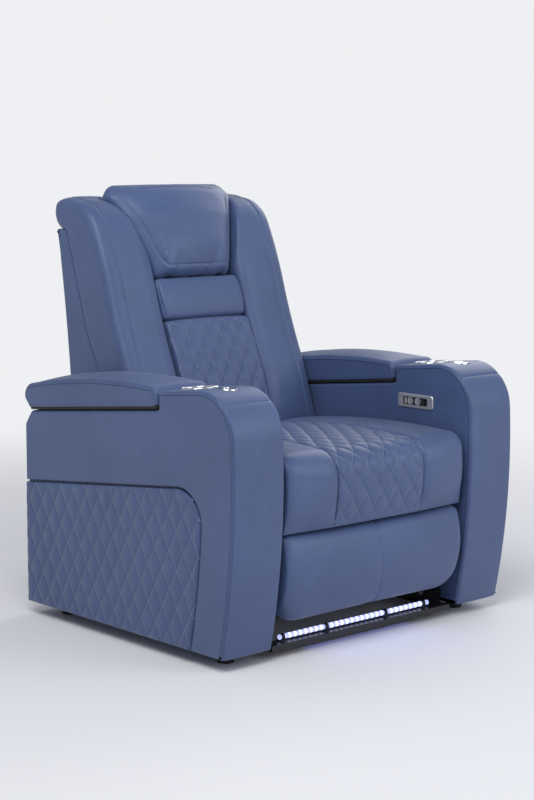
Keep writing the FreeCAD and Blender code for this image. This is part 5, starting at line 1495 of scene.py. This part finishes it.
    def panel(self) -> None:
        """The quilted side panel, as a grid fitted between its four edges."""
        path = self.panel_path(0)
        corner = int(np.argmin(np.hypot(*(path - np.array(self.knee()[1])).T)))
        rows, cols = 132, 210
        s, t = self.eased(cols), self.eased(rows)
        west, north = (self.picked(line, shares) for line, shares in ((path[:corner + 1], t), (path[corner:-1], s)))
        low_end, top_end = path[-1], path[-2]
        south = np.outer(1 - s, path[0]) + np.outer(s, low_end)
        east = np.outer(1 - t, low_end) + np.outer(t, top_end)
        a, b = s[None, :, None], t[:, None, None]
        grid = ((1 - a) * west[:, None] + a * east[:, None] + (1 - b) * south + b * north - (1 - a) * (1 - b) * path[0]
                - a * (1 - b) * low_end - (1 - a) * b * north[0] - a * b * top_end)
        sides = (west[:, None], east[:, None], south, north)
        edge = np.min([np.hypot(*(grid - side).transpose(2, 0, 1)) for side in sides], axis=0)
        share = ramp(edge, 0, self.panel_roll)
        roll = 1 - np.sqrt(np.clip(1 - (1 - share) ** 2, 0, 1))
        uv = grid * MM
        rise = puffed(uv[..., 0], uv[..., 1], self.quilt, 0.0046) / MM * share
        x = ARM_OUT + self.panel_proud + rise - roll * self.panel_roll
        points = np.dstack([x * self.side.value, grid])
        obj = grid_skin(f"{self.side.word}_quilted_panel", to_scene(points), uv, False, False)
        with edited(obj) as bm:
            made = bmesh.ops.extrude_edge_only(bm, edges=[e for e in bm.edges if e.is_boundary])["geom"]
            for item in made:
                if isinstance(item, bmesh.types.BMVert):
                    item.co.x = (ARM_OUT - self.panel_depth + 0.3) * MM * self.side.value
            bmesh.ops.holes_fill(bm, edges=[e for e in bm.edges if e.is_boundary], sides=0)
            bmesh.ops.recalc_face_normals(bm, faces=bm.faces)
        smooth(obj.data, 50)
        finish = Leather("blue_leather_side_quilting", "quilted_leather", quilt=self.quilt)
        self.shop.place(obj, Body.BASE, finish, [f"{self.side.word}_side_panel"], 0.7)

    def picked(self, line: np.ndarray, shares: np.ndarray) -> np.ndarray:
        """The points of a line nearest to shares of its run, to the millimetre."""
        fine = resampled(line, 1.0, closed=False)
        return np.array([fine[int(round(share * (len(fine) - 1)))] for share in shares])

    def eased(self, count: int) -> np.ndarray:
        """Shares from 0 to 1 that lie closer together at both ends."""
        t = np.linspace(0, 1, count)
        return t - 0.165 * np.sin(math.tau * t) / math.tau

    def fittings(self) -> None:
        """Cup, its ring and the tray socket, turned in one piece each."""
        word, sign = self.side.word, self.side.value
        tilt = Vector((0, math.sin(SLOPE), math.cos(SLOPE)))
        cup_base = spot(sign * ARM_MID, 162, top_height(162))
        cup = turned(f"{word}_cup_liner", [(0, -78), (35.5, -78), (38.5, -75), (38.5, 0), (42, 0), (42, 1.5),
                                          (38.2, 1.5), (37, 0.6), (37, -72), (34.5, -75.5), (24, -76.5),
                                          (22, -75.6), (6, -75.6), (4, -76.5), (0, -76.5)], cup_base, tilt)
        self.shop.place(cup, Body.BASE, STAINLESS, [f"{word}_cup_holder"])
        ring = turned(f"{word}_cup_trim", [(39.4, 1.6), (42.1, 1.6), (42.1, 0.1), (45, 0.1), (45, 1.6), (44.4, 3.2),
                                          (43, 4.3), (41.4, 4.6), (40.2, 4.1), (39.5, 3.0), (39.4, 1.6)],
                      cup_base, tilt, 96)
        nodes = ["cup_rings"] if self.side is Side.RIGHT else []
        self.shop.place(ring, Body.BASE, CHROME, nodes)
        dock_base = spot(sign * ARM_MID, 66, top_height(66) - 4.5)
        socket = turned(f"{word}_socket", [(0, -45), (14, -45), (14, 0), (24, 0), (24, 2.2), (22.5, 4.4), (19.5, 5.0),
                                          (12.5, 5.0), (10.8, 4.4), (10, 3.0), (10, -42), (0, -42)], dock_base,
                        Vector((0, 0, 1)), 72)
        self.shop.place(socket, Body.BASE, CHROME, [f"{word}_tray_socket"])

    def build(self) -> None:
        """Makes every piece of the arm."""
        self.cover()
        self.panel()
        self.fittings()


@dataclass
class Lids(Assembly):
    """The padded lids over the storage bins."""

    half: float = 79.0
    lift: float = 5.0
    rise: float = 13.0

    def path(self, high: float) -> np.ndarray:
        """A lid's side view.

        Args:
            high: Rise of the crown.

        Returns:
            The path, in drawing millimetres.
        """
        raw = [(3.0, self.lift), (1.0, 30.0), ("via", 8.0, 47.0), (30.0, 54.0), ("via", 170.0, 69.0), (316.0, 72.4),
               ("via", 420.0, 71.5), (486.0, 66.0), ("via", 520.0, 50.0), (523.0, 30.0), (507.0, self.lift + 4.0),
               (503.0, self.lift)]
        points = resampled(rounded(traced(raw, 4.0), 14.0), 3.5)
        top = np.clip((points[:, 1] - 40.0) / 14.0, 0, 1)
        points[:, 1] += high * top * np.sin(np.pi * np.clip(points[:, 0] / 500.0, 0, 1)) ** 0.5
        return np.array([ledge_place(u, v) for u, v in points])

    def build(self) -> None:
        """Makes both lids, their stitches, and near-black cords on their sides as painted seam shade."""
        x0, x1 = ARM_MID - self.half, ARM_MID + self.half
        flat = self.path(0.0)
        stations = boxed_stations(flat, x0, x1, radius=8.0, swell=0.0, count=22)
        base = [(x, path + (self.path(self.rise * crown((x - x0) / (x1 - x0))) - flat)) for x, path in stations]
        right = swept("right_lid_cushion", base)
        left = self.shop.pair(right, (Body.RIGHT_LID, Body.LEFT_LID), "lid_pad", 0.8)
        line, inner = (sorted((q for p, q in zip(flat, moved) if self.above(p)), key=lambda p: p[0])
                       for moved in (flat, inset(flat, 9.0)))
        for sign, obj, body in ((1, right, Body.RIGHT_LID), (-1, left, Body.LEFT_LID)):
            seams = [Seam([spot(sign * x, y, z) for y, z in line], offsets=(offset * sign,))
                     for x, offset in ((x0 + 3.6, 0.0045), (x1 - 3.6, -0.0045))]
            self.needle.stitches(obj, body, seams)
            # Near-black cords along the side seams: painted shade of the seam lines.
            sides = [[spot(sign * x, y, z) for y, z in inner] for x in (x0, x1)]
            self.shop.place(corded(f"{body.value}_seams", sides), body, SEAM_SHADE_CORD)

    def above(self, p: np.ndarray) -> bool:
        """Whether a place is on the lid's top rather than its underside."""
        u = (p[0] - LEDGE[0]) * math.cos(SLOPE) - (p[1] - LEDGE[1]) * math.sin(SLOPE)
        v = (p[0] - LEDGE[0]) * math.sin(SLOPE) + (p[1] - LEDGE[1]) * math.cos(SLOPE)
        return v > 40.0 or (u < 12.0 and v > 20.0)


@dataclass
class Seat(Assembly):
    """The seat: a quilted strip down its middle between two plain bolsters."""

    mid_half: float = 141.0
    half: float = 290.0
    run: float = 2050.0
    quilt: Quilt = field(default_factory=lambda: Quilt(0.0504, 0.072))

    def path(self, share: float, step: float) -> np.ndarray:
        """Side view of the seat.

        Args:
            share: 0 in the middle and 1 at the arms.
            step: Spacing of the points.

        Returns:
            The path, with as many points for every share.
        """
        middle = [(-28.0, 262.0), ("via", -43.0, 320.0), (-46.0, 375.0), ("via", -32.0, 417.0), (2.0, 438.0),
                  ("via", 240.0, 444.0), (472.0, 424.0), (484.0, 412.0), (484.0, 292.0), (12.0, 292.0), (12.0, 262.0)]
        side = [(-19.0, 262.0), ("via", -35.0, 325.0), (-35.0, 390.0), ("via", -23.0, 425.0), (14.0, 438.0),
                ("via", 240.0, 441.0), (472.0, 422.0), (484.0, 410.0), (484.0, 292.0), (12.0, 292.0), (12.0, 262.0)]
        mixed = []
        for a, b in zip(middle, side):
            word = a[:-2]
            mixed.append(word + tuple(p + (q - p) * share for p, q in zip(a[-2:], b[-2:])))
        loop = rounded(traced(mixed, 3.0), 9.0, 0.5)
        return spaced(ring(loop), int(round(self.run / step)))[:-1]

    def soft(self, path: np.ndarray) -> np.ndarray:
        """1 on the front and top, 0 on the hidden underside and rear."""
        y, z = path.T
        return np.maximum(ramp(z, 262.0, 302.0) * (y < 30.0), ramp(z, 400.0, 420.0) * ramp(y, 480.0, 466.0))

    def strip(self) -> None:
        """The quilted middle."""
        x1 = self.mid_half - 0.25
        path = self.path(0.0, 2.8)
        soft = self.soft(path)
        stations = rolled_stations(lambda s: inset(path, -1.6 * crown(s) * soft), -x1, x1, 12.0, 8.0 * soft, 2.8)
        obj = swept("seat_quilted_strip", stations, 75)

        def top(co: np.ndarray) -> np.ndarray:
            """Full on the top and the front, and fading at the edges."""
            edge = ramp(x1 * MM - np.abs(co[:, 0]), 0, 0.012)
            return ramp(co[:, 2], 0.297, 0.317) * ramp(co[:, 1], 0.078, 0.063) * edge

        quilted_skin(obj, self.quilt, 0.0052, top)
        finish = Leather("blue_leather_seat_quilting", "quilted_leather", quilt=self.quilt)
        self.shop.place(obj, Body.CARRIAGE, finish, ["seat_cushion"], 0.75)

    def bolster(self) -> None:
        """A plain side of the seat, and its twin."""
        x0, x1 = self.mid_half + 0.25, self.half
        base = self.path(0.0, 4.0)
        soft = self.soft(base)

        def path_at(share: float) -> np.ndarray:
            """Side view with the pad's crown."""
            return inset(self.path(share, 4.0), -5.0 * crown(share) ** 0.8 * soft)

        right = swept("right_seat_side", rolled_stations(path_at, x0, x1, 22.0, 10.0 * soft, 5.0), 75)
        self.wrinkle(right)
        self.shop.pair(right, (Body.CARRIAGE, Body.CARRIAGE), "seat_bolster", 0.75)

    def wrinkle(self, obj: bpy.types.Object) -> None:
        """Small puckers that run in from the valley beside the quilted strip.

        Args:
            obj: The bolster.
        """

        def ripple(co: np.ndarray) -> np.ndarray:
            """Ripple height at each point."""
            away = np.abs(co[:, 0]) - self.mid_half * MM
            run = co[:, 1] - co[:, 2]
            wave = np.sin(run * 410.0 + 2.2 * np.sin(run * 57.0)) * (0.5 + 0.5 * np.sin(run * 33.0 + 1.0))
            return 0.0007 * wave * np.exp(-(away / 0.028) ** 2) * (co[:, 2] > 0.297)

        shifted(obj, ripple)

    def build(self) -> None:
        """Makes the seat's three pads."""
        self.strip()
        self.bolster()


@dataclass
class Footrest(Assembly):
    """The padded footrest front in two panels."""

    half: float = 288.0

    def path(self, front: float, lift: float) -> np.ndarray:
        """Side view; front moves the face forwards and lift raises the lower edge."""
        entries = [(23.0, 50.0 + lift), ("via", -4.0 - front * 0.6, 58.0 + lift * 0.9),
                   (-22.0 - front, 84.0 + lift * 0.6), ("via", -36.5 - front, 165.0), (-27.0 - front * 0.8, 238.0),
                   ("via", -17.0, 254.0), (4.0, 258.0), (23.0, 258.0)]
        return spaced(ring(traced(entries, 3.0)), 140)[:-1]

    def build(self) -> None:
        """Makes the pad with the seam down its middle."""
        base = self.path(0, 0)
        soft = ramp(base[:, 0], 20.0, 4.0)

        def path_at(share: float) -> np.ndarray:
            """Side view at a share of the way across."""
            corner = max(0.0, 1 - 2 * min(share, 1 - share) * self.half / 60.0)
            x = (2 * share - 1) * self.half
            dip = 1.6 * math.exp(-(x / 3.2) ** 2) + 1.8 * math.exp(-(x / 20.0) ** 2)
            return inset(self.path(11.0 * crown(share), 34.0 * corner ** 2 + 4.0 * crown(share)), dip * soft)

        stations = rolled_stations(path_at, -self.half, self.half, 24.0, 12.0 * soft, 5.0)
        extra = [(x, path_at((x + self.half) / (2 * self.half))) for x in (-8, -4, -2, -1, 0, 1, 2, 4, 8)]
        stations = sorted([s for s in stations if abs(s[0]) > 9] + extra, key=lambda s: s[0])
        obj = swept("footrest_cushion", stations, 75)
        line = [spot(0, y, z) for y, z in path_at(0.5) if y < 10 and 62 < z < 256.5]
        self.needle.stitches(obj, Body.FOOTREST, [Seam(line, offsets=(-0.005, 0.005))])
        self.shop.place(obj, Body.FOOTREST, LEATHER, ["footrest_pad"], 0.7)


@dataclass
class Back(Assembly):
    """The back: wings, middle pad, quilted lumbar pad, headrest and rear shell."""

    core_half: float = 138.0
    wing_half: float = 296.0
    swell: float = 16.0
    quilt: Quilt = field(default_factory=lambda: Quilt(0.0530, 0.074))

    def wing(self) -> None:
        """A side wing with its long seam, and its twin."""
        obj = relaxed(cad_copy("right_wing", "right_wing_cushion", 4.0), 7)
        front = traced([(489.0, 412.0), ("via", 501.0, 490.0), (531.0, 579.0), ("via", 566.0, 663.0), (598.0, 753.0),
                        ("via", 636.0, 864.0), (667.0, 934.0), ("via", 705.0, 976.0), (767.0, 995.0),
                        ("via", 815.0, 1000.0), (840.0, 990.0), ("via", 847.0, 955.0), (825.0, 918.0)], 6.0)
        run = run_of(front)
        share = run / run[-1]
        xs = 262.0 - 10.0 * np.sin(np.pi * np.clip(share * 1.15, 0, 1))
        outer = Seam([spot(x, y, z) for x, (y, z) in zip(xs, front)], depth=0.0020, offsets=(-0.0045, 0.0045))
        self.needle.sew(obj, Body.BACKREST, [outer])
        left = self.shop.pair(obj, (Body.BACKREST, Body.BACKREST), "wing", 0.75)
        line = [Vector((-p.x, p.y, p.z)) for p in outer.line]
        self.needle.stitches(left, Body.BACKREST, [Seam(line, offsets=(-0.0045, 0.0045))])

    def core(self) -> None:
        """The plain middle pad, with the soft band between lumbar pad and headrest."""
        obj = relaxed(cad_copy("back_core", "back_middle_pad", 4.0), 36)
        sides = []
        for x in (-self.core_half + 4, self.core_half - 4):
            sides.append(Seam([spot(x, *back_place(LUMBAR_TOP, -1, up)) for up in np.linspace(3, 108, 26)], offsets=()))
        self.needle.sew(obj, Body.BACKREST, sides)
        self.shop.place(obj, Body.BACKREST, LEATHER, ["back_core"], 0.7)

    def lumbar(self) -> None:
        """The quilted lumbar pad."""
        half, low = self.core_half - 2.0, -262.0

        def place(rear: float, up: float) -> Place:
            """A place on the pad's side view."""
            return back_place(LUMBAR_TOP, rear, up)

        entries = [place(49, low), place(14, low), ("via", *place(2.0, low + 5)), place(-3, low + 16),
                   ("via", *place(-8, low / 2)), place(-3, -16), ("via", *place(2, -5)), place(14, 0), place(49, 0)]
        path = resampled(traced(entries, 2.5), 2.6)
        rear = (path[:, 0] - LUMBAR_TOP[0]) * REARWARD[0] + (path[:, 1] - LUMBAR_TOP[1]) * REARWARD[1]
        soft = ramp(rear, 40.0, 20.0)
        stations = rolled_stations(lambda s: inset(path, -3.0 * crown(s) * soft), -half, half, 12.0, 8.0 * soft, 2.7)
        obj = swept("lumbar_quilted_pad", stations, 75)

        def mask(co: np.ndarray) -> np.ndarray:
            """Full on the face and fading at its edges."""
            behind, up = back_axes(co, LUMBAR_TOP)
            edge = ramp(half - np.abs(co[:, 0]) / MM, 0.0, 10.0)
            return ramp(behind, 12.0, 4.0) * ramp(up, -3.0, -13.0) * ramp(up, -259.0, -249.0) * edge

        quilted_skin(obj, self.quilt, 0.0050, mask)
        finish = Leather("blue_leather_lumbar_quilting", "quilted_leather", quilt=self.quilt)
        self.shop.place(obj, Body.LUMBAR, finish, ["lumbar_pad"], 0.75)

    def headrest(self) -> None:
        """The headrest pillow, filled by simulation, with its boxed seam."""
        obj = relaxed(cad_copy("headrest_pad", "headrest_pillow", 4.5, self.plugs()), 6)

        def held(co: np.ndarray) -> np.ndarray:
            """Full on the face, and nothing on the rear and round the hinge."""
            rear, up = back_axes(co, HEAD_PIVOT)
            return ramp(rear, 24.0, -6.0) * ramp(up, 6.0, 46.0)

        self.plump(obj)
        inflated(obj, 7.0, held=held)
        corners = [(106, 8), (112, 20), (134, 90), (154, 140), (172, 186), (176, 204), (166, 222), (150, 226)]
        left = [(-x, up) for x, up in corners]
        bottom = [(x, 5) for x in np.linspace(-94, 94, 10)]
        top = [(x, 228) for x in np.linspace(136, -136, 12)]
        loop = resampled(rounded(np.array(bottom + corners + top + left[::-1], float), 16.0), 5.0)
        seam = Seam([spot(x, *back_place(HEAD_PIVOT, -28.0, up)) for x, up in ring(loop)], depth=0.0022,
                    offsets=(0.0048,))
        self.pinch(obj)
        self.needle.sew(obj, Body.HEADREST, [seam])
        self.shop.place(obj, Body.HEADREST, LEATHER, ["headrest_pad"], 0.8)

    def plump(self, obj: bpy.types.Object) -> None:
        """Swells the pillow's front between its seams.

        Args:
            obj: The pillow.
        """
        co = vectors(obj.data.vertices)
        rear, up = back_axes(co, HEAD_PIVOT)
        up += 20.0
        half = np.interp(up, (0, 162, 226, 258), (126, 177, 204, 178))
        across = np.clip(1 - (np.abs(co[:, 0]) / MM / half) ** 4, 0, 1) ** 0.5
        tall = np.clip(1 - np.abs(up / 129.0 - 1) ** 4, 0, 1) ** 0.5
        swell = self.swell * MM * across * tall * ramp(rear, 24.0, -6.0)
        co[:, 1] -= swell * REARWARD[0]
        co[:, 2] -= swell * REARWARD[1]
        set_points(obj.data, co)

    def plugs(self) -> list[Matrix]:
        """Blocks that close the slots for the hinge arms in the pillow's front."""
        out = []
        turn = Matrix.Rotation(-LEAN, 4, "X")
        for x in (-84.0, 84.0):
            for rear, up, depth, tall in ((0.0, 40.0, 38.0, 90.0), (4.0, -6.0, 30.0, 14.0)):
                size = Matrix.Diagonal((0.034, depth * MM, tall * MM, 1.0))
                out.append(Matrix.Translation(spot(x, *back_place(HEAD_PIVOT, rear, up))) @ turn @ size)
        return out

    def pinch(self, obj: bpy.types.Object) -> None:
        """Short folds that rise from the pillow's lower seam.

        Args:
            obj: The pillow.
        """
        folds = [(-66.0, 11.0, 1.2, 0.35), (14.0, 9.0, 1.5, -0.3), (52.0, 10.0, 1.3, 0.5), (90.0, 8.0, 1.0, 0.3)]

        def fold(co: np.ndarray) -> np.ndarray:
            """Fold depth at each point."""
            rear, up = back_axes(co, HEAD_PIVOT)
            reach = np.exp(-((up - 4.0) / 34.0) ** 2)
            total = np.zeros(len(co))
            for at, width, depth, slant in folds:
                off = co[:, 0] / MM - at - slant * up
                total -= depth * np.exp(-(off / width) ** 2) * reach
                total += depth * 0.5 * np.exp(-((off - 2 * width) / width) ** 2) * reach
            return total * MM * (rear < 20)

        shifted(obj, fold)

    def shell(self) -> None:
        """The upholstered rear cover."""
        entries = [(652.0, 300.0), (612.0, 440.0), (653.0, 572.0), (703.0, 666.0), (740.0, 783.0), (786.0, 922.0),
                   (828.0, 920.0), ("via", 786.0, 600.0), (766.0, 300.0)]
        path = resampled(rounded(traced(entries, 6.0), 14.0), 4.0)
        obj = swept("back_rear_cover", boxed_stations(path, -294.0, 294.0, radius=8.0, swell=2.0, count=60))
        seams = [Seam([spot(x, 815.0, 862.0) for x in np.linspace(-286, 286, 60)], offsets=(-0.005, 0.005)),
                 Seam([spot(x, 770.5, 360.0) for x in np.linspace(-286, 286, 60)], offsets=(0.005,))]
        self.needle.sew(obj, Body.BACKREST, seams)
        rear = [p for p in path if p[0] > 755 and 306 < p[1] < 905]
        rear.sort(key=lambda p: p[1])
        for x, offset in ((-290.5, 0.0045), (290.5, -0.0045)):
            self.needle.stitches(obj, Body.BACKREST, [Seam([spot(x, y, z) for y, z in rear], offsets=(offset,))])
        self.shop.place(obj, Body.BACKREST, LEATHER, ["back_shell"], 0.5)

    def tuck(self) -> None:
        """The leather flap that hangs behind the seat and closes the gap under the lumbar pad."""
        half = self.core_half - 3.0
        path = resampled(rounded(np.array([(491.0, 446.5), (498.0, 443.5), (501.0, 380.0), (495.0, 380.0)]), 2.0), 2.0)
        obj = swept("back_tuck_flap", [(float(x), path) for x in np.linspace(-half, half, 55)])
        self.shop.place(obj, Body.BACKREST, LEATHER, fill=0.2)

    def build(self) -> None:
        """Makes every piece of the back."""
        self.wing()
        self.core()
        self.lumbar()
        self.tuck()
        self.headrest()
        self.shell()


@dataclass
class Studio:
    """Floor, lamps and camera."""

    floor_half: float = 9.0
    lens: float = 81.4

    def floor(self) -> None:
        """A pale floor that runs out of the view."""
        bm = bmesh.new()
        bmesh.ops.create_grid(bm, x_segments=1, y_segments=1, size=self.floor_half)
        obj = from_bmesh("studio_floor", bm)
        obj.data.materials.append(Ground("studio_floor_paint", None).material())

    def lamp(self, name: str, place: tuple[float, float, float], size: float, power: float,
             colour: Colour = (1, 1, 1), aim: tuple[float, float, float] = (0.0, 0.0, 0.5)) -> None:
        """A soft square lamp.

        Args:
            name: Its name.
            place: Where it stands.
            size: Its side.
            power: Its power, in watts.
            colour: Its colour.
            aim: Where it points, the chair if not given.
        """
        data = bpy.data.lights.new(name, "AREA")
        data.size = size
        data.energy = power
        data.color = colour
        obj = bpy.data.objects.new(name, data)
        obj.location = place
        obj.rotation_mode = "QUATERNION"
        obj.rotation_quaternion = (Vector(aim) - Vector(place)).to_track_quat("-Z", "Y")
        bpy.context.scene.collection.objects.link(obj)

    def world(self) -> None:
        """Even grey light, with a white background for camera rays and transmitted rays."""
        world = bpy.data.worlds.new("studio")
        bpy.context.scene.world = world
        world.use_nodes = True
        tree = world.node_tree
        tree.nodes.clear()
        path = tree.nodes.new("ShaderNodeLightPath")
        seen = tree.nodes.new("ShaderNodeMath")
        seen.operation = "MAXIMUM"
        tree.links.new(path.outputs["Is Camera Ray"], seen.inputs[0])
        tree.links.new(path.outputs["Is Transmission Ray"], seen.inputs[1])
        mix = tree.nodes.new("ShaderNodeMixShader")
        dim, bright = tree.nodes.new("ShaderNodeBackground"), tree.nodes.new("ShaderNodeBackground")
        dim.inputs["Color"].default_value = (0.87, 0.90, 1.0, 1)
        dim.inputs["Strength"].default_value = 0.42
        bright.inputs["Color"].default_value = (*BACKDROP, 1)
        out = tree.nodes.new("ShaderNodeOutputWorld")
        tree.links.new(seen.outputs[0], mix.inputs[0])
        tree.links.new(dim.outputs[0], mix.inputs[1])
        tree.links.new(bright.outputs[0], mix.inputs[2])
        tree.links.new(mix.outputs[0], out.inputs[0])

    def camera(self) -> None:
        """The photograph's viewpoint."""
        data = bpy.data.cameras.new("photo_view")
        data.lens = self.lens
        data.sensor_width = 36.0
        obj = bpy.data.objects.new("photo_view", data)
        obj.location = (-2.96765, -3.33935, 1.13053)
        obj.rotation_euler = (math.radians(90 - 7.66), 0, math.radians(-41.98))
        bpy.context.scene.collection.objects.link(obj)
        bpy.context.scene.camera = obj

    def build(self) -> None:
        """Sets up the studio."""
        self.floor()
        self.world()
        self.lamp("key_lamp", (-2.0, -1.4, 3.3), 2.0, 80.0)
        self.lamp("front_lamp", (1.6, -3.4, 2.0), 2.6, 45.0, (0.92, 0.95, 1.0))
        low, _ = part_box("led_tube")
        self.lamp("tube_glow", (0.0, low[1] - 0.02, low[2] - 0.004), 0.35, 0.12,
                  (0.22, 0.26, 1.0), (0.0, low[1] - 0.3, -0.3))
        self.lamp("rim_lamp", (3.2, 1.2, 2.4), 2.2, 36.0)
        self.camera()
        bpy.context.scene.view_settings.view_transform = "Standard"


def main() -> None:
    """Builds the seat's visible pieces in order."""
    logging.basicConfig(level=logging.INFO, format="%(name)s %(message)s")
    shop, needle = Shop(), Needle()
    Studio().build()
    arms = [Arm(shop, needle, side) for side in Side]
    others = [kind(shop, needle) for kind in (Lids, Seat, Footrest, Back)]
    for assembly in arms + others:
        assembly.build()
    needle.finish(shop, THREAD)
    shop.dress_nodes()


if __name__ == "__main__":
    main()
